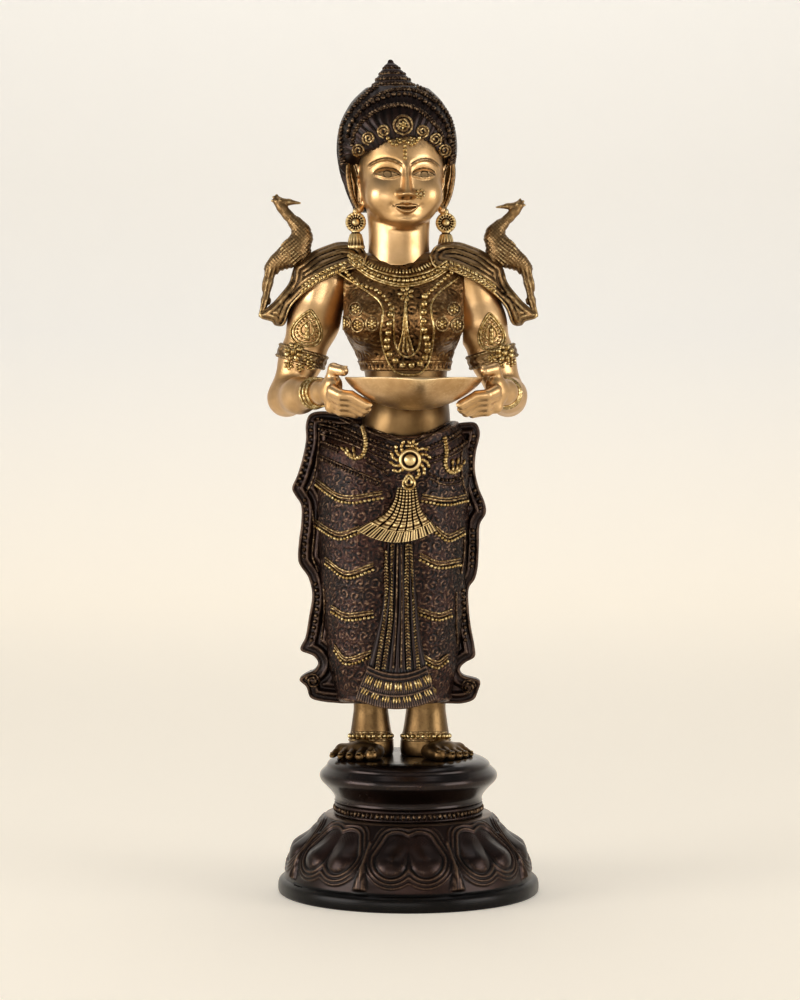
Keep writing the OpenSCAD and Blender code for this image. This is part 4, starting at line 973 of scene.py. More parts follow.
def hand_field(p, side):
    """Fingers under the bowl, one below the other, and a thumb over its rim."""
    q = p.copy()
    q[:, 0] = (q[:, 0] - BOWL_X) * side
    r, w, y0, z0 = 4.2, BOWL_W, BOWL_Y, BOWL_Z
    d = limbs(q, [((w + 17, y0 + 21, z0 - 11), 9.5), ((w + 12, y0 + 13, z0 - 10), 9.4)], 5)
    d = melt(d, limb(q, (w + 9, y0 + 6, z0 - 5), (w + 10, y0 + 8, z0 - 22), 7.2, 5.6), 5)
    for i, reach in enumerate((36, 37, 40, 45)):
        y, drop, tip_r = y0 - 4 + i * 4, i * 4.1, r * 0.9
        tip_z = rest_under(reach, tip_r) - drop
        row = [((w + 9, y + 2, z0 - 10 - drop * 0.95), r * 1.12), ((w + 3, y - 3, z0 - 13 - drop), r * 1.02),
               ((w - 5, y - 2, rest_under(w - 5, r) - drop - 0.4), r * 0.98), ((reach, y - 2, tip_z), tip_r)]
        d = melt(d, limbs(q, row, 0.8), 1.5)
        d = np.minimum(d, egg(q, (reach - 2.0, y - 2 - tip_r * 0.82, tip_z), (2.6, 0.9, 2.0)))
    lift = z0 + r + 0.6
    thumb = [((w + 11, y0 + 9, z0 - 4), 5.3), ((w + 8.5, y0 + 3, lift + 2), 4.4),
             ((w + 1, y0 - 3, lift + 0.3), 4.1)]
    d = melt(d, limbs(q, thumb, 1.5), 2.0)
    return np.minimum(d, egg(q, (w, y0 - 4.5, lift + 3.6), (2.8, 2.2, 0.8)))


def arm(name, node, side):
    """Arm and hand, cut flat where the trunk joins."""
    rows = arm_rows(side)

    def field(p):
        d = melt(limbs(p, rows, 7), hand_field(p, side), 3)
        joint = TORSO_X * side + SHOULDER_W + 0.2 - p[:, 0] * side
        return np.maximum(d, np.where(p[:, 2] > SHOULDER_Z - 52, joint, -99))

    xs = sorted([BOWL_X + side * 30, ARM_X + side * 106])
    v, f = carve(field, (xs[0] - 2, -100, 370), (xs[1] + 2, 30, 508), cell=0.85)
    return piece(name, v, f, BUFFED, "polished_brass", [node], gain=1.8)


RIGHT_ARM = arm("right_arm_and_hand", "right_arm", side=-1)
LEFT_ARM = arm("left_arm_and_hand", "left_arm", side=1)


def armlet(name, node, side):
    """Band round the upper arm that slopes down towards the body: rope edges and a chased middle."""
    rows = arm_rows(side)[:4]
    (x0, y0, z0), radius = rows[2]

    def field(p):
        turn = np.arctan2(p[:, 1] - y0, p[:, 0] - x0)
        up = p[:, 2] - 426 - side * 0.29 * (p[:, 0] - x0)
        rope = 1.0 * bump(np.abs(up) - 4.6, 1.0) * (1 + 0.35 * np.cos(36 * turn + up * 2))
        leaf = 0.6 * np.cos(14 * turn + 1.2 * np.cos(up)) * bump(up, 2.6)
        return np.maximum(limbs(p, rows, 7) - 1.6 - rope - leaf, np.abs(up) - 6.2)

    v, f = carve(field, (x0 - 24, y0 - 24, 410), (x0 + 24, y0 + 24, 442), cell=0.68)
    return piece(name, v, f, ANTIQUE, "antique_brass", [node], gain=2.3, spread=1)


RIGHT_ARMLET = armlet("right_carved_armlet", "right_armlet", side=-1)
LEFT_ARMLET = armlet("left_carved_armlet", "left_armlet", side=1)


def oil_bowl():
    """Shallow oval bowl with a rolled lip, pinched to a wick spout in front."""
    a = np.linspace(0, 2 * math.pi, 200, endpoint=False)
    near = np.clip(np.cos(a + math.radians(84)), 0, 1) ** 24

    def oval(share, inset, rise=0.0):
        x = BOWL_X + (BOWL_W * share - inset) * np.cos(a) + near * 0.9 * share
        y = BOWL_Y + (BOWL_L * share - inset) * np.sin(a) - near * 9 * share ** 3
        z = BOWL_Z - BOWL_D * (1 - share ** 2) ** 0.75 + inset * (1 - share ** 4) - near * 1.6 * share ** 6
        return np.stack([x, y, z + rise], -1)

    outer = [oval(s, 0) for s in np.sin(np.linspace(0.001, math.pi / 2, 26))]
    lip = [oval(1, 0.6, 0.5), oval(1, 1.4, 0.5)]
    inner = [oval(s, 2.2) for s in np.sin(np.linspace(math.pi / 2 - 0.1, 0.05, 22))]
    v, f = lattice(np.stack(outer + lip + inner, 1), wrap_u=True)
    piece("oil_bowl_shell", v, f, BUFFED, "polished_brass", ["oil_bowl"], body="bowl")


oil_bowl()


# Head

# Sections from the chin up: height, centre across, half width, front and back depth, centre along.
FACE = [(0, 0, 10, 9, 8, -15), (4.5, 0, 20, 19, 15, -13), (13.6, 0, 27.3, 28, 24, -8),
        (25.5, 0, 31.6, 33.5, 32, -3), (41, 0, 33.1, 36, 38, 0), (56.4, 0, 33.1, 35.5, 40, 0),
        (71, 0, 30.8, 31, 38, 0), (83.7, 0, 21.4, 22, 28, 0), (91, 0, 8.1, 8, 10, 2)]
HAIR = [(13.2, 0, 31, 6, 24, 12), (30.8, 0, 40, 16, 38, 8), (49.5, 0, 46, 27, 46, 4),
        (66, 0, 47.5, 34, 48, 2), (82.5, 0, 44.6, 36, 46, 2), (96.8, 0, 37.4, 31, 38, 3),
        (103.4, 0, 32.2, 27, 32, 3.5), (110, 0, 25, 21, 24, 4)]
# Nose: height above the chin, how far it stands out, half width.
NOSE = [(19.6, 0, 4.4), (21.4, 5.8, 4.6), (23.8, 8.6, 4.4), (27, 7.6, 3.6), (33, 5.8, 2.9), (40, 4.2, 2.6),
        (45, 2.9, 3.0), (49, 1.2, 4.5), (53, 0, 6)]


def to_head(p):
    """Frame of the head: the chin's height is 0 and the face looks along -Y."""
    c, s = math.cos(HEAD_TURN), math.sin(HEAD_TURN)
    dx, dy = p[:, 0] - HEAD_X, p[:, 1] - HEAD_Y
    return np.stack([dx * c + dy * s, -dx * s + dy * c, p[:, 2] - CHIN], -1)


def from_head(p):
    """Places in the frame of the head, given in the frame of the part."""
    p = np.atleast_2d(np.asarray(p, float))
    c, s = math.cos(HEAD_TURN), math.sin(HEAD_TURN)
    x, y = p[:, 0] * c - p[:, 1] * s, p[:, 0] * s + p[:, 1] * c
    return np.stack([x + HEAD_X, y + HEAD_Y, p[:, 2] + CHIN], -1)


# Almond eye: its middle, half its length, and how far the lids stand from its middle line.
ALMOND_X, ALMOND_Z, ALMOND_L = 14.5, 39.2, 9.6
LID_UP, LID_LOW = 3.4, 2.7


def brow(ax):
    """Height of the arched brow, and 1 where it runs, at a distance from the middle of the face."""
    return 51.2 - 0.031 * (ax - 16) ** 2, step(2.6, 4.6, ax) * step(29.5, 26.5, ax)


def almond(ax):
    """Height of the eye's middle line, and its opening from 0 at the corners to 1."""
    across = (ax - ALMOND_X) / ALMOND_L
    return ALMOND_Z + 0.045 * (ax - ALMOND_X), np.clip(1 - across * across, 0, 1)


def mouth_line(ax):
    """Height of the closed mouth, which smiles a little."""
    return 13.0 + 0.021 * ax * ax


def brow_and_eye(ax, z):
    """Arched brow, a hollow below it and an almond eye with lids, crease and iris, as heights in mm."""
    arch, reach = brow(ax)
    h = reach * (0.9 * bump(z - arch, 0.9) - 0.5 * bump(np.abs(z - arch) - 1.7, 0.5))
    h = h - 2.0 * np.exp(-((ax - 13) / 9) ** 2 - ((z - 42.5) / 5.5) ** 2)
    middle, slit = almond(ax)
    upper, lower = middle + LID_UP * slit ** 0.8, middle - LID_LOW * slit
    within = step(-0.3, 0.5, np.minimum(upper - z, z - lower)) * (slit > 0)
    ends = step(1.1, 0.92, np.abs((ax - ALMOND_X) / ALMOND_L))
    h = h + 1.7 * within * np.sqrt(slit)
    h = h + ends * (1.15 * bump(z - upper - 0.3, 0.62) + 0.95 * bump(z - lower + 0.3, 0.6))
    h = h - 0.6 * ends * bump(z - upper - 2.3, 0.5)
    iris = np.hypot(ax - ALMOND_X, z - middle - 0.5)
    return h - 0.35 * within * bump(iris - 3.0, 0.5)


def face_lines(ax, z):
    """Where patina stays in the lines of the face: brows, lids, irises, nostrils and the mouth."""
    arch, reach = brow(ax)
    middle, slit = almond(ax)
    upper, lower = z - middle - LID_UP * slit ** 0.8, z - middle + LID_LOW * slit
    lids = bump(upper + 0.6, 0.6) + 0.6 * bump(lower - 0.6, 0.5) + 0.7 * bump(upper - 2.3, 0.7)
    lids = lids * (slit > 0)
    iris = bump(np.hypot(ax - ALMOND_X, z - middle - 0.5) - 3.0, 0.5) * (slit > 0)
    mouth = bump(z - mouth_line(ax), 0.8) * step(11.5, 10, ax)
    nostril = np.exp(-((ax - 3.2) / 1.6) ** 2 - ((z - 21.0) / 1.1) ** 2)
    return np.clip(reach * bump(z - arch, 1.0) + lids + 0.5 * iris + 0.6 * mouth + nostril, 0, 1)


def nose_and_mouth(ax, z):
    """Straight nose with small wings and a closed mouth, as heights in mm."""
    ridge = along(NOSE, z)
    h = ridge[:, 0] * np.exp(-(ax / ridge[:, 1]) ** 2.6)
    h = h + 3.6 * np.exp(-(np.hypot(ax - 5.3, (z - 24) * 1.05) / 2.9) ** 3)
    h = h - 1.8 * np.exp(-((ax - 3.2) / 1.3) ** 2 - ((z - 21.2) / 0.9) ** 2)
    line = mouth_line(ax)
    full = np.clip(1 - (ax / 10.6) ** 2, 0, 1)
    upper = (z - line) / np.maximum(full * (3.6 + 0.7 * bump(ax - 3, 2) - 0.5 * bump(ax, 1.4)), 0.2)
    lower = (line - z) / np.maximum(4.9 * np.clip(1 - (ax / 9.4) ** 2, 0, 1), 0.2)
    h = h + 1.9 * np.sqrt(full) * np.sin(math.pi * np.clip(upper, 0, 1))
    h = h + 2.4 * np.sqrt(full) * np.sin(math.pi * np.clip(lower, 0, 1))
    h = h - 0.8 * bump(z - line, 0.5) * step(11.5, 10, ax)
    h = h - 0.7 * np.exp(-((ax - 11.8) / 1.8) ** 2 - ((z - 15.6) / 2) ** 2)
    h = h - 0.5 * bump(ax, 1.1) * step(16.6, 17.6, z) * step(20.5, 19.5, z)
    return h - 0.9 * np.exp(-(ax / 7) ** 2 - ((z - 6.2) / 1.6) ** 2)


def ear_field(q, side):
    """Long ear: a rim and an inner fold round a hollow, and a heavy lobe."""
    x = q[:, 0] * side
    flat = np.stack([x - 36 - 0.17 * (q[:, 2] - 34), q[:, 2] - 34, np.zeros(len(q))], -1)
    oval = egg(flat, (0, 0, 0), (6.6, 21, 1e3))
    y = q[:, 1] - 1
    rim = np.hypot(oval + 1.4, y) - 1.9
    fold = np.hypot(oval + 4.9, y - 0.2) - 1.2
    hollow = np.maximum(oval, np.abs(y - 1.8) - 1.4)
    lobe = ball(np.stack([x, q[:, 1], q[:, 2]], -1), (33.2, 1.0, 14), 3.4)
    return melt(np.minimum(np.minimum(rim, fold), hollow), lobe, 1.5)


def head():
    """Head with face, ears and neck."""
    def field(p):
        q = to_head(p)
        ax = np.abs(q[:, 0])
        d = ovals(q, FACE)
        # Chin and cheeks.
        d = melt(d, egg(q, (0, -25.5, 5.4), (10.5, 9, 7.2)), 8)
        d = melt(d, egg(np.c_[ax, q[:, 1:]], (17, -21, 24.5), (12, 13, 12)), 9)
        d = d - (brow_and_eye(ax, q[:, 2]) + nose_and_mouth(ax, q[:, 2])) * step(-12, -22, q[:, 1])
        # The back of the skull is hidden in the hair and is left flat.
        d = np.maximum(d, np.where(q[:, 2] > 26, q[:, 1] - 10, -99))
        neck = np.hypot(q[:, 0] + 1.6, q[:, 1]) - (24 + 0.003 * (q[:, 2] + 10) ** 2)
        d = melt(d, np.maximum(neck, np.maximum(-31 - q[:, 2], q[:, 2] - 24)), 3.0)
        return melt(d, np.minimum(ear_field(q, -1), ear_field(q, 1)), 1.0)

    v, f = carve(field, (-54, -46, CHIN - 33), (44, 40, CHIN + 76), cell=0.62, margin=8)
    q = to_head(v)
    lines = face_lines(np.abs(q[:, 0]), q[:, 2]) * step(-12, -20, q[:, 1])
    ears = step(33.5, 35, np.abs(q[:, 0])) * (0.85 + 0.15 * step(0.2, 1.2, q[:, 1]))
    # The hair shades the top of the forehead.
    shade = 0.45 * step(55, 66, q[:, 2])
    return piece("head_and_neck", v, f, BUFFED, "polished_brass", ["head"], gain=1.7, spread=1,
                 more=-0.32 * np.maximum(np.maximum(lines, ears), shade))


def hair():
    """Hood of dressed hair, combed in strands at the back, that recedes behind the ears."""
    def field(p):
        q = to_head(p)
        h = q - np.array([HAIR_X, 0, 0], q.dtype)
        d = ovals(h, HAIR)
        swing = np.arctan2(h[:, 0], h[:, 1] + 4)
        strand = 0.55 * np.cos(46 * swing + 0.5 * np.sin(q[:, 2] / 9))
        d = d - strand * step(-4, 8, q[:, 1]) * step(108, 96, q[:, 2])
        comb = 0.3 * np.cos(52 * np.arctan2(h[:, 0], q[:, 2] - 40) + 0.6 * np.sin(q[:, 2] / 3))
        d = d - comb * step(-2, -12, q[:, 1])
        temple = along([(13, 7), (38, 6), (48, 1), (54, -10), (60, -32), (66, -60)], q[:, 2])[:, 0]
        d = -melt(-d, q[:, 1] - temple, 7)
        neck = np.maximum(np.hypot(q[:, 0], q[:, 1]) - 24, q[:, 2] - 24)
        return np.maximum(d, -np.minimum(ovals(q, FACE) - 0.3, neck))

    v, f = carve(field, (-60, -40, CHIN + 11), (48, 62, CHIN + 112), cell=0.8)
    return piece("dressed_hair", v, f, PATINA, "dark_patina", ["hair"], gain=2.6, spread=1, more=-0.12)


# Finial: its foot in the frame of the head, and how far it leans for each mm of height.
FINIAL_FOOT = np.array([2 * HAIR_X, 4, HAIR_H])
FINIAL_LEAN = 0.13


def finial():
    """Coiled cone, leaning a little."""
    z = np.linspace(0.6, 22.4, 60)
    coil = 17.6 * (1 - z / 23) ** 0.85 + 0.5 * np.cos(z * 2 * math.pi / 4.4)
    p, a = spun(np.r_[[(0.01, 0), (16.5, 0)], np.c_[np.clip(coil, 0.4, 99), z], [(0.01, 22.7)]], 96)
    p[..., 0] -= p[..., 2] * FINIAL_LEAN
    p = from_head((p + FINIAL_FOOT).reshape(-1, 3)).reshape(p.shape)
    piece("stepped_finial", *lattice(p, wrap_u=True), PATINA, "dark_patina", ["finial"])


HEAD_FACE = head()
HAIR_FACE = hair()
finial()


def earring(name, node):
    """Ribbed disc over a fluted bell, hung from the lobe of an ear."""
    corner, far_corner = [np.array(c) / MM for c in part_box(node)]
    x, y = (corner[:2] + far_corner[:2]) / 2
    x = x + 1.5 * np.sign(HEAD_X - x)
    disc, a = spun([(0.01, -2.6), (6.6, -2.6), (7.8, -1.6), (8.2, 0.4), (7.6, 1.9), (6.4, 2.2), (5.4, 1.7),
                    (4.3, 2.0), (3.4, 1.4), (2.6, 2.6), (1.4, 3.4), (0.01, 3.6)], 96)
    disc[:, 3:8, 2] += 0.5 * np.cos(16 * a)[:, None]
    disc = np.stack([disc[..., 0] + x, y - disc[..., 2], disc[..., 1] + far_corner[2] - 8], -1)
    bell, a = spun([(0.01, 15), (3.2, 15), (3.7, 13.6), (3.2, 12.8), (4.6, 11.2), (5.6, 7.4), (6.2, 3.4),
                    (7, 1.4), (6.7, 0), (0.01, 0)], 72)
    bell[:, 4:9, :2] *= (1 + 0.06 * np.cos(14 * a))[:, None, None]
    bell = bell + np.array([x, y, corner[2]])
    turn = np.linspace(0, math.pi, 12)
    hook, a = spun(np.c_[2.4 * np.sin(turn) + 0.01, -2.8 * np.cos(turn)], 24)
    hook = hook + np.array([x, y, far_corner[2] + 0.6])
    parts = [lattice(part, wrap_u=True) for part in (disc, bell, hook)]
    parts = [(v, outward(v, f)) for v, f in parts]
    piece(name, *joined(*parts), ANTIQUE, "antique_brass", [node], spread=1)


earring("right_bell_earring", "right_earring")
earring("left_bell_earring", "left_earring")


# Shoulder drapes and birds

def drape(name, node, side):
    """Pleated shawl over the shoulder that ends in a curled tip outside the arm."""
    rows = arm_rows(side)[:3]
    # Distance from the middle of the figure and height, in mm: outline, and centres and radii of the folds.
    edge = [(24, 505), (29, 513), (36, 516.5), (47, 517), (58, 513.5), (68, 509), (77, 502.5), (83.5, 497.5),
            (86.5, 485), (96, 472.5), (103, 466), (111, 459.6), (109, 455.5), (100, 453), (98.5, 449),
            (91, 450.5), (85, 464.5), (76, 474), (64, 482), (52, 488), (40, 493), (28, 496), (24, 505)]
    tip_rows = [((82, 0, 486), 6), ((88, 0, 472), 8), ((96, 0, 460), 8.5), ((108, 0, 458.5), 3.5)]
    yoke_rows = [((24, 0, 498), 8), ((36, 0, 505), 11), ((48, 0, 504), 12.5), ((60, 0, 500), 13),
                 ((72, 0, 493), 12)]
    shape = rounded(edge, 4)

    def field(p):
        x = ((p[:, 0] - WING_X) * side).astype(float)
        d = outline_field(shape, x, p[:, 2].astype(float))
        body = melt(limbs(p, rows, 7), trunk_field(p), 6)
        q = np.stack([x, p[:, 1] - SHOULDER_Y, p[:, 2]], -1)
        pleats = 1.1 * np.abs(np.cos(d * math.pi / 4.2)) * step(0.5, -1.0, d)
        shell = melt(melt(body - 4.2, limbs(q, tip_rows, 5), 3), limbs(q, yoke_rows, 6) + 1.1, 5) - pleats
        return meet(shell, d, 2.2)

    xs = sorted([WING_X + side * 20, WING_X + side * 116])
    v, f = carve(field, (xs[0], -42, 444), (xs[1], 46, 521), cell=0.85)
    return piece(name, v, f, ANTIQUE, "antique_brass", [node], gain=3.1, spread=1, more=-0.08)


RIGHT_DRAPE = drape("right_shoulder_shawl", "right_shoulder_drape", side=-1)
LEFT_DRAPE = drape("left_shoulder_shawl", "left_shoulder_drape", side=1)


def bird(name, node, side, dip):
    """Long-tailed bird: arched neck, crest, folded wings and a ribbed tail.

    dip is how much lower it holds its head."""
    # Distance from the middle of the figure, height and radius, in mm.
    spine = [(95.4, 551, 3.9), (92, 545.6, 3.5), (87.6, 539.4, 3.7), (81.4, 532.6, 4.9), (77, 526.4, 6.4),
             (76.6, 519.6, 8), (80.5, 511.5, 9.6), (88, 505, 8.8), (96, 500.4, 6.4), (101, 495.2, 4.7),
             (103.6, 484, 3.8), (105.6, 470, 3.1), (109, 459, 2.2)]
    beak = [(94, 551, 3.2), (86.5, 550.6, 2.4), (78, 549.8, 0.9)]
    leg = [(79, 507, 8), (72, 499, 8)]
    spine, beak, leg = [[((u, 0, z), r) for u, z, r in keys] for keys in (spine, beak, leg)]

    def field(p):
        z = p[:, 2] + dip * step(516, 548, p[:, 2])
        q = np.stack([(p[:, 0] - WING_X) * side, p[:, 1] - SHOULDER_Y, z], -1)
        d = limbs(q, spine, 4)
        d = melt(d, limbs(q, beak, 1.5), 1.5)
        d = melt(d, limbs(q, leg, 2), 4)
        for u, top in ((99, 554.6), (96.6, 556), (100, 551.6)):
            d = melt(d, limb(q, (95, 0, 552), (u, 0, top), 2.2, 1.1), 1)
        barbs = 0.45 * np.cos((q[:, 2] + 0.8 * q[:, 0]) * 2 * math.pi / 3.4)
        for wing in (-1, 1):
            d = melt(d, egg(q, (84, wing * 7.2, 509), (9.5, 3.6, 11)) - barbs, 1.2)
            d = np.minimum(d, ball(q, (94, wing * 3.3, 552), 1.2))
        tail = step(500, 492, q[:, 2])
        d = d - 0.5 * tail * np.cos(q[:, 0] * 2 * math.pi / 3.2 + q[:, 2] * 0.5)
        scales = np.cos(q[:, 0] * 2 * math.pi / 3) * np.cos(q[:, 2] * 2 * math.pi / 3.4)
        return d - 0.3 * scales * step(546, 536, q[:, 2]) * (1 - tail)

    xs = sorted([WING_X + side * 66, WING_X + side * 114])
    v, f = carve(field, (xs[0] - 2, -10, 450), (xs[1] + 2, 22, 560), cell=0.66)
    piece(name, v, f, ANTIQUE, "antique_brass", [node], gain=2.2, spread=1)


bird("right_long_tailed_bird", "right_bird", side=-1, dip=2.5)
bird("left_long_tailed_bird", "left_bird", side=1, dip=6.0)


# Ornaments that lie on the castings, drawn along pixels of the photograph

CHEST = [TORSO_FACE, BODICE, HEAD_FACE, RIGHT_DRAPE, LEFT_DRAPE]
CLOTH = [SKIRT_FACE, RIGHT_SASH, LEFT_SASH]
WAIST = [SKIRT_FACE, TORSO_FACE, RIGHT_SASH, LEFT_SASH, APRON]
CROWN = [HAIR_FACE, HEAD_FACE]
ARMS = [RIGHT_ARM, LEFT_ARM, RIGHT_ARMLET, LEFT_ARMLET, RIGHT_DRAPE, LEFT_DRAPE]
# Trim that goes round the figure is drawn in front and again behind.
BOTH = (False, True)


def lower(pixels, drop):
    """The same line of pixels, further down."""
    return [(x, y + drop) for x, y in pixels]


def necklaces():
    """Collar with ticks, a bead row and a long double chain with a knot and a tassel."""
    collar = [(356, 256), (376, 267), (402, 272), (420, 269), (434, 262)]
    row = [(349, 256), (372, 273), (402, 281), (428, 276), (447, 265)]
    chain = [(341, 265), (358, 284), (377, 291), (390, 306), (390, 315), (388, 331), (387, 348), (396, 361),
             (406, 365), (420, 363), (425, 357), (428, 344), (424, 328), (424, 315), (425, 297), (437, 286),
             (458, 266)]
    outer = [(338, 273), (366, 291), (382, 306), (381, 338), (395, 371), (423, 371), (434, 333), (431, 306),
             (438, 294), (459, 277)]
    inner = [(393, 306), (394, 336), (398, 351), (407, 357), (417, 351), (421, 336), (421, 306)]
    knot = (406, 294)
    nape = [(352, 262), (376, 270), (400, 272), (424, 270), (442, 262)]
    tassel = [[(406, 300), (405 + k, 318), (404.5 + k * 2, 334), (403 + k * 5, 352)] for k in (-1, 0, 1, 2)]
    rows = [beads(cast(CHEST, collar), 2.6, (0.8, 2.2, 1.1)), beads(cast(CHEST, row), 3.4, 1.7),
            beads(cast(CHEST, chain[:5]), 4.4, 1.9), beads(cast(CHEST, chain[4:-2]), 6.8, 3.0),
            beads(cast(CHEST, chain[-3:]), 4.4, 1.9), beads(cast(CHEST, nape, behind=True), 3.2, 1.6)]
    rows.append(rosette(CHEST, knot, 5.5, 7, 1.9, (2.4, 1.5, 1.2)))
    studs("necklace_beads", rows, GILT, 10, 6)
    lines = [cast(CHEST, lower(row, drop)) for drop in (-4, 3.4, 5.6)]
    lines += [cast(CHEST, outer), cast(CHEST, inner), cast(CHEST, lower(nape, -4), behind=True)]
    lines += [cast(CHEST, strand) for strand in tassel]
    cords("necklace_cords", lines, 0.9, GILT)


def bodice_motifs():
    """Ringed flowers on the breasts."""
    spots = [(356, 309), (358, 325), (372, 324), (345, 323), (454, 309), (442, 324), (457, 325), (468, 319)]
    turn = np.linspace(0, 2 * math.pi, 13)
    rows, lines = [], []
    for px, py in spots:
        circle = np.c_[px + 6 * np.cos(turn), py + 6.6 * np.sin(turn)]
        for behind in BOTH:
            rows.append(rosette([BODICE], (px, py), 3.0, 6, 1.5, (1.6, 1.1, 0.9), behind))
            lines.append(cast([BODICE], circle, 0.4, behind, 2))
    studs("bodice_flowers", rows, GILT)
    cords("bodice_rings", lines, 0.75, BRONZE)


def waist():
    """Belt edge in a V, bead rows, a scalloped fringe and two hanging cords with leaf ends."""
    vee = [(340, 415), (362, 425), (386, 434), (410, 440), (430, 432), (450, 422)]
    sagged = [(320, 455), (347, 467), (380, 481)]
    belts = [[(320, 429), (335, 434), (352, 440), (372, 449), (390, 457)],
             [(322, 442), (330, 445), (338, 448)],
             [(318, 419), (332, 423), (350, 430), (372, 440), (392, 447)],
             [(366, 458), (378, 464), (388, 470)],
             [(428, 460), (440, 456), (455, 449), (466, 442)],
             [(428, 447), (444, 440), (460, 431)],
             [(430, 474), (444, 480), (462, 478)]]
    right_cord = [(363, 428), (366, 441), (365, 451), (361, 457), (354, 458), (347, 453)]
    left_cord = [(444, 438), (446, 451), (445, 464), (449, 472), (457, 471), (460, 466)]
    rows = [beads(cast(WAIST, line, behind=behind), 3.6, 1.6) for line in belts for behind in BOTH]
    rows.append(beads(cast(WAIST, lower(sagged, 3.5)), 2.8, (0.9, 1.8, 0.9)))
    studs("belt_beads", rows, SMOKED)
    lines = [cast(WAIST, lower(vee, drop), behind=behind) for drop in (0, 4) for behind in BOTH]
    lines += [cast(WAIST, lower(line, 4.5), behind=behind) for line in belts for behind in BOTH]
    cords("belt_cords", lines + [cast(WAIST, sagged)], 0.9, SMOKED)
    ropes = [beads(cast(WAIST, line, 0.8), 2.4, (1.7, 2.2, 1.8), slant=32)
             for line in (right_cord, left_cord)]
    leaves = [((343, 449), (347, 453)), ((348, 450), (351, 455)), ((354, 450), (355, 456)),
              ((463, 462), (460, 467)), ((457, 461), (456, 468)), ((452, 462), (452, 469))]
    for tip, root in leaves:
        middle = ((tip[0] + root[0]) / 2, (tip[1] + root[1]) / 2)
        ropes.append(beads(cast(WAIST, [root, middle, tip], 1.0, per=2), 6, (3.0, 1.3, 1.2)))
    studs("side_cords", ropes, GILT)


def clasp():
    """Round buckle with a boss, slanted flames about it, a flower above and a drop below."""
    middle, flower = (410, 460), (412, 446)
    drop_tip, drop_foot = (409, 474), (409, 489)
    x, z = photo_xz(*middle, -44)
    profile = [(0.01, -5), (8.4, -5), (8.9, 1.4), (8.4, 3.2), (7, 3.8), (6, 3), (4.8, 2.8), (4, 4), (2, 5),
               (0.01, 5.2)]
    p, a = spun(profile, 72)
    p = np.stack([p[..., 0] + x, skirt_front(x, z) - 1.0 - p[..., 2], p[..., 1] + z], -1)
    piece("round_buckle", *lattice(p, wrap_u=True), ANTIQUE, "antique_brass", ["girdle_clasp"], spread=1)
    rows = [rosette(WAIST, flower, 4.5, 7, 1.6, (2.0, 1.3, 1.0), lift=0.8)]
    flames = 14
    for k in range(flames):
        # Each flame leans with the turn, and none stands where the flower and the drop are.
        a = math.radians(-90 + 360 / flames * (k + 0.5))
        if abs(math.sin(a)) < 0.97:
            ray = [(middle[0] + r * math.cos(a + lean), middle[1] + r * math.sin(a + lean))
                   for r, lean in ((13, 0), (16, 0.1), (19, 0.3))]
            rows.append(beads(cast(WAIST, ray, 0.8, per=3), 3.2, (2.3, 1.5, 1.4)))
    studs("buckle_flames", rows, GILT)
    lines = [cast(WAIST, teardrop(drop_tip, drop_foot, 10, share), 0.6, per=2) for share in (1, 0.5)]
    cords("buckle_drop", lines, 1.0, GILT)


def swag_trim():
    """Each hanging fold has a double cord and a row of beads."""
    lines, rows = [], []
    for swag in SWAGS:
        for behind in BOTH:
            lines += [cast(CLOTH, lower(swag, drop), 0.5, behind, 8) for drop in (0, -2.6)]
            rows.append(beads(cast(CLOTH, lower(swag, 4), 0.3, behind, 8), 3.4, 1.5))
    cords("swag_cords", lines, 0.75, BRONZE)
    studs("swag_beads", rows, GILT)


def sash_trim():
    """Bead columns and ridges down the sashes, and a curl at the foot of each."""
    columns = [[(312, 424), (311, 440), (307, 456), (302, 470), (298, 484)],
               [(305, 500), (307, 520), (305, 540), (304, 556)],
               [(316, 584), (318, 600), (316, 620), (312, 640)],
               [(473, 436), (470, 455), (470, 475)],
               [(475, 490), (479, 499), (480, 508)],
               [(472, 530), (472, 548), (471, 566)],
               [(463, 590), (463, 612), (465, 640)]]
    ridges = [[(319, 432), (318, 455), (314, 478), (306, 494)],
              [(312, 510), (314, 530), (313, 556), (318, 572)],
              [(324, 586), (325, 606), (322, 640)],
              [(463, 440), (461, 460), (463, 484), (470, 506)],
              [(464, 530), (464, 550), (461, 574)],
              [(456, 592), (456, 616), (457, 644)]]
    right_curl, left_curl = (313, 681), (468, 687)
    rows = [beads(cast(CLOTH, line, behind=behind), 5.0, 2.0) for line in columns for behind in BOTH]
    studs("sash_beads", rows, SMOKED)
    lines = [cast(CLOTH, line, behind=behind) for line in ridges for behind in BOTH]
    curls = [spiral(right_curl, 8, 1.8, math.pi), spiral(left_curl, 8, 1.8, 0, -1)]
    lines += [cast(CLOTH, curl, 0.5, behind, 3) for curl in curls for behind in BOTH]
    cords("sash_cords", lines, 1.0, SMOKED)


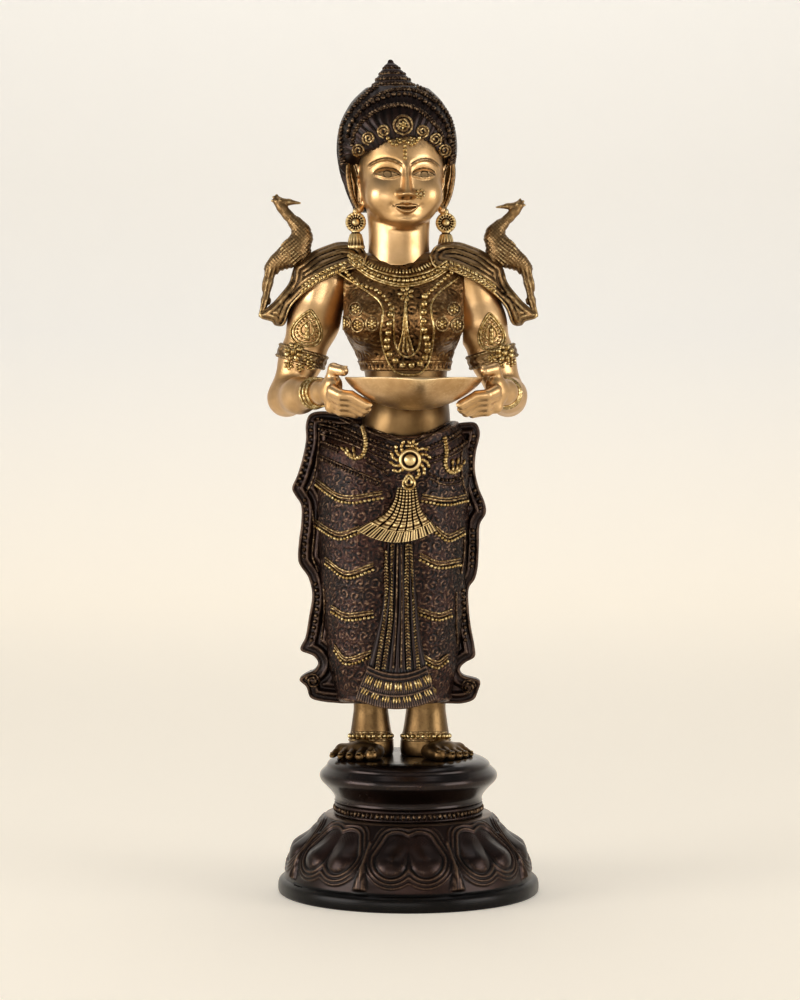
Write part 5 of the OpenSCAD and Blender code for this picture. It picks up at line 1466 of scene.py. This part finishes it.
def braids():
    """Braids and plain ridges down the front pleats, and two tiers of bars on the fan at their foot."""
    tiers = [([(362, 677), (380, 684.5), (398, 687), (416, 684.5), (431, 678)], 4.2),
             ([(360, 689), (378, 697), (397, 700), (416, 697), (434, 690)], 3.4)]
    bars = [beads(cast([PLEATS], line, 0.2, per=12), 2.2, (0.8, long, 0.8)) for line, long in tiers]
    # Every fourth bar is left out, so that the others stand in blocks of three.
    bars = [row[np.arange(len(row)) % 4 > 0] for row in bars]
    studs("hem_fan_bars", bars, GILT, 6, 4)
    columns = [((387, 545), (385, 616), (377.5, 668)), ((392, 545), (391, 616), (384, 668)),
               ((406.5, 545), (407, 616), (409, 668)), ((411, 545), (414, 616), (418, 668))]
    ridges = [((397.5, 545), (396, 616), (393, 668)), ((401, 545), (402, 616), (401.5, 668))]
    rows = []
    for column in columns:
        line = cast([PLEATS], column, 0.4, per=12)
        rows += [beads(line, 2.4, (1.6, 0.75, 0.9), slant=38 * hand, aside=0.8 * hand) for hand in (-1, 1)]
    studs("pleat_braids", rows, BRONZE, 6, 4)
    lines = [cast([PLEATS], ridge, 0.3, per=12) for ridge in ridges]
    cords("pleat_ridges", lines, 0.7, SMOKED)


# Pixel column of the parting: curls wind the other way on its other side.
PARTING = 403


def hair_trim():
    """Rope edge, bead arc and inner rope over the hair, curls at the brow and rings round the finial."""
    edges = [[(375, 87), (366, 94), (356, 104), (348, 115), (342, 126), (341, 139),
              (341, 152), (343, 163)],
             [(412, 85), (425, 91), (438, 102), (447, 114), (452, 126), (453, 139),
              (453, 152), (451, 163)]]
    bead_arc = [(348, 136), (351, 125), (360, 112), (374, 102), (388, 96), (402, 94),
                (417, 97), (430, 106), (439, 115), (447, 127), (449, 141)]
    rope_arc = [(352, 145), (355, 131), (366, 118), (378, 110), (389, 106),
                (405, 105), (419, 110), (430, 119), (439, 130), (444, 141)]
    top_arc = [(365, 105), (381, 94), (402, 89), (420, 92), (434, 101)]
    rows = [beads(cast(CROWN, line, 0.3, behind), 3.0, (1.3, 4.2, 1.7), slant=25)
            for line in edges for behind in BOTH]
    rows += [beads(cast(CROWN, line, 0.3, behind), 2.6, (1.4, 2.6, 1.7), slant=35)
             for line in (rope_arc, top_arc) for behind in BOTH]
    rows += [beads(cast(CROWN, bead_arc, 0.4, behind), 4.4, 2.2) for behind in BOTH]
    for radius, height in ((16.8, 2.2), (13.6, 6.6), (10.2, 11), (6.6, 15.4)):
        middle = from_head(FINIAL_FOOT + (-height * FINIAL_LEAN, 0, height))[0]
        rows.append(beads(ring(middle, (0, 0, 1), radius - 0.2), 2.6, (1.5, 1.5, 1.1), slant=35))
    studs("hair_ropes", rows, SMOKED)
    eyes = [(369, 138), (384, 131), (359, 150), (422, 131), (435, 139), (444, 150)]
    curls = [spiral(eye, 6.6, 2.0, math.pi / 2, 1 if eye[0] < PARTING else -1) for eye in eyes]
    cords("brow_curls", [cast(CROWN, curl, 0.5, per=3) for curl in curls], 1.0, BRONZE)


def face_jewels():
    """Flower and festoon on the forehead, its pendant, and a bead ring at the nose."""
    flower = (403, 125)
    festoon = [(388, 138), (394, 145), (404, 141), (412, 145), (419, 138)]
    pendant = [(405, 146), (405, 152), (405, 158)]
    buds = [(398, 141), (412, 140)]
    nostril = (420, 194)
    turn = np.linspace(0, 2 * math.pi, 17)
    rings = [np.c_[flower[0] + r * np.cos(turn), flower[1] + r * np.sin(turn)] for r in (9, 5.6)]
    lines = [cast(CROWN, circle, 0.6, per=2) for circle in rings]
    cords("forehead_rings", lines, 1.1, BRONZE)
    rows = [rosette(CROWN, flower, 2.6, 6, 1.6, (1.4, 1.0, 1.0), lift=0.8),
            beads(cast(CROWN, festoon), 3.2, 1.7), beads(cast(CROWN, pendant), 3.0, 1.8)]
    rows += [rosette(CROWN, bud, 2.4, 5, 0.9, (1.0, 0.8, 0.8)) for bud in buds]
    studs("forehead_jewel", rows, GILT)
    nose_flower = rosette([HEAD_FACE], nostril, 3.9, 7, 1.5, (1.5, 1.2, 1.2))
    studs("nose_flower", [nose_flower], GILT)


def arm_trim():
    """Drop medallions on the shoulders, flower clusters on the armlets and three bangles at each wrist."""
    drops = [((311, 310), (304, 346), 27), ((489, 313), (493, 351), 23)]
    clusters = [(294, 352), (504, 353)]
    buds = [(308, 358), (289, 365), (300, 367), (311, 366), (492, 358), (511, 362), (500, 365)]
    lines = [cast(ARMS, teardrop(*drop, share), 0.5, per=2) for drop in drops for share in (1, 0.84, 0.42)]
    rows = [beads(cast(ARMS, teardrop(*drop, 0.64), 0.5, per=2), 3.0, 1.3) for drop in drops]
    for tip, foot_end, width in drops:
        heart = [((tip[0] + foot_end[0]) / 2, tip[1] * (1 - t) + foot_end[1] * t) for t in (0.45, 0.6, 0.75)]
        rows.append(beads(cast(ARMS, heart, 1.0), 3.4, (3.2, 2.2, 1.8)))
    rows += [rosette(ARMS, spot, 6.5, 8, 3.0, (3.2, 2.2, 2.0), lift=1.0) for spot in clusters]
    rows += [rosette(ARMS, spot, 3.4, 6, 1.6, (1.7, 1.3, 1.3), lift=0.6) for spot in buds]
    studs("arm_jewels", rows, GILT)
    cords("medallion_ridges", lines, 0.9, GILT)
    bangles = []
    for side in (-1, 1):
        (fore, fore_r), (wrist, wrist_r) = arm_rows(side)[4:]
        fore, wrist = np.array(fore), np.array(wrist)
        for t in (0.6, 0.72, 0.84):
            radius = fore_r + (wrist_r - fore_r) * t + 0.6
            bangles.append(ring(fore + (wrist - fore) * t, wrist - fore, radius))
    cords("wrist_bangles", bangles, 1.3, GILT)


def shawl_edges():
    """Leaf edging along the drapes, in front and behind."""
    edges = [[(303, 291), (317, 281), (333, 273), (345, 268)],
             [(494, 291), (479, 281), (464, 273), (451, 268)]]
    drapes = [RIGHT_DRAPE, LEFT_DRAPE]
    rows = [beads(cast(drapes, lower(edge, drop), 0.4, behind), 3.6, (2.4, 1.4, 1.1), slant=lean)
            for edge in edges for behind in BOTH for drop, lean in ((0, 40), (-5, -40))]
    studs("shawl_leaves", rows, GILT)


def anklets():
    """A ring of beads between two cords round each ankle."""
    def circle(leg, up, grow):
        x, calf = leg
        return ring((x, LEG_Y - 0.5, SOLE + up), (0, 0.1, 1), calf + grow)

    rows = [beads(circle(leg, 14.6, 2.6), 4.4, (1.9, 2.2, 2.2)) for leg in LEGS]
    studs("anklet_beads", rows, GILT)
    lines = [circle(leg, up, grow) for leg in LEGS for up, grow in ((11.4, 3.4), (17.6, 1.4))]
    cords("anklet_cords", lines, 0.9, BRONZE)


necklaces()
bodice_motifs()
waist()
clasp()
swag_trim()
sash_trim()
braids()
hair_trim()
face_jewels()
arm_trim()
shawl_edges()
anklets()


# Stage

def cream_backdrop():
    """Paper sweep: warm cream on the table, paler up the wall."""
    mat = bpy.data.materials.new("cream_backdrop")
    mat.use_nodes = True
    tree = mat.node_tree
    place = add(tree, "ShaderNodeTexCoord").outputs["Object"]
    height = add(tree, "ShaderNodeSeparateXYZ", {0: place}).outputs["Z"]
    share = add(tree, "ShaderNodeMapRange", {"Value": height, "From Min": 0.0, "From Max": 0.5}).outputs[0]
    colour = add(tree, "ShaderNodeMix", {0: share, 6: linear("#fbf0dc"), 7: linear("#f6f4f0")},
                 data_type="RGBA").outputs[2]
    # Eye and mirror see the paper a little paler than the lamps make it, most of all on the table.
    rays = add(tree, "ShaderNodeLightPath").outputs
    seen = add(tree, "ShaderNodeMath", {0: rays["Is Camera Ray"], 1: rays["Is Glossy Ray"]},
               operation="ADD").outputs[0]
    seen = add(tree, "ShaderNodeMath", {0: seen, 1: rays["Is Transmission Ray"]}, operation="ADD").outputs[0]
    pale = add(tree, "ShaderNodeMapRange", {"Value": share, "To Min": 0.18, "To Max": 0.08}).outputs[0]
    glow = add(tree, "ShaderNodeMath", {0: seen, 1: pale}, operation="MULTIPLY").outputs[0]
    shader = tree.nodes["Principled BSDF"]
    tree.links.new(colour, shader.inputs["Base Color"])
    tree.links.new(glow, shader.inputs["Emission Strength"])
    shader.inputs["Roughness"].default_value = 0.9
    # The paper is not a lamp, so its glow is left out of the light sampling.
    mat.cycles.emission_sampling = "NONE"
    return mat


# Paper sweep in metres: its radius, outside every camera, the bend at its foot and the top of its wall.
SWEEP, BEND, WALL = 3.6, 0.8, 3.5


def stage():
    """Camera of the photograph, paper sweep and five softboxes."""
    scene = bpy.context.scene
    scene.view_settings.view_transform = "Standard"
    cam = bpy.data.cameras.new("camera")
    cam.lens, cam.sensor_width, cam.clip_end = LENS, SENSOR, 50
    ob = bpy.data.objects.new("camera", cam)
    ob.location = EYE * MM
    ob.rotation_euler = (math.pi / 2 - TILT, 0, 0)
    scene.collection.objects.link(ob)
    scene.camera = ob

    # The paper stands in a round, so that every side of the figure has a pale background.
    turn = np.linspace(0, math.pi / 2, 13)
    bend = np.c_[SWEEP - BEND + BEND * np.sin(turn), BEND - BEND * np.cos(turn)]
    p, a = spun(np.r_[[(0.001, 0), (SWEEP - 1, 0)], bend, [(SWEEP, WALL)]], 96)
    v, f = lattice(p, wrap_u=True)
    mesh = bpy.data.meshes.new("backdrop")
    mesh.from_pydata(v.tolist(), [], f.tolist())
    mesh.polygons.foreach_set("use_smooth", [True] * len(mesh.polygons))
    mesh.materials.append(cream_backdrop())
    sweep = bpy.data.objects.new("backdrop", mesh)
    scene.collection.objects.link(sweep)

    world = bpy.data.worlds.new("studio")
    scene.world = world
    world.use_nodes = True
    sky = world.node_tree.nodes["Background"]
    sky.inputs["Color"].default_value = linear("#dcdcdc")
    sky.inputs["Strength"].default_value = 0.3

    def lamp(name, place, aim, size, power):
        light = bpy.data.lights.new(name, "AREA")
        light.shape = "RECTANGLE"
        light.size, light.size_y = size
        light.energy = power
        one = bpy.data.objects.new(name, light)
        one.location = place
        one.rotation_euler = (Vector(aim) - Vector(place)).to_track_quat("-Z", "Y").to_euler()
        scene.collection.objects.link(one)

    lamp("key_softbox", (-1.95, -0.95, 0.55), (0, 0, 0.45), (1.5, 1.05), 28)
    lamp("fill_softbox", (1.9, -0.95, 0.55), (0, 0, 0.4), (1.3, 1.05), 18.5)
    lamp("top_softbox", (0, 0.3, 2.2), (0, 0, 0.3), (1.6, 1.2), 8)
    lamp("low_softbox", (-0.4, -2.3, 0.2), (0, 0, 0.5), (1.8, 0.36), 8)
    lamp("wall_light", (0, SWEEP - 1.1, 2.6), (0, SWEEP - 0.1, 0.6), (2.5, 0.6), 20)


stage()

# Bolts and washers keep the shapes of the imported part.
for node in ("foot_bolts", "bolt_washers"):
    bpy.data.objects[node].data.materials.clear()
    bpy.data.objects[node].data.materials.append(STEEL)
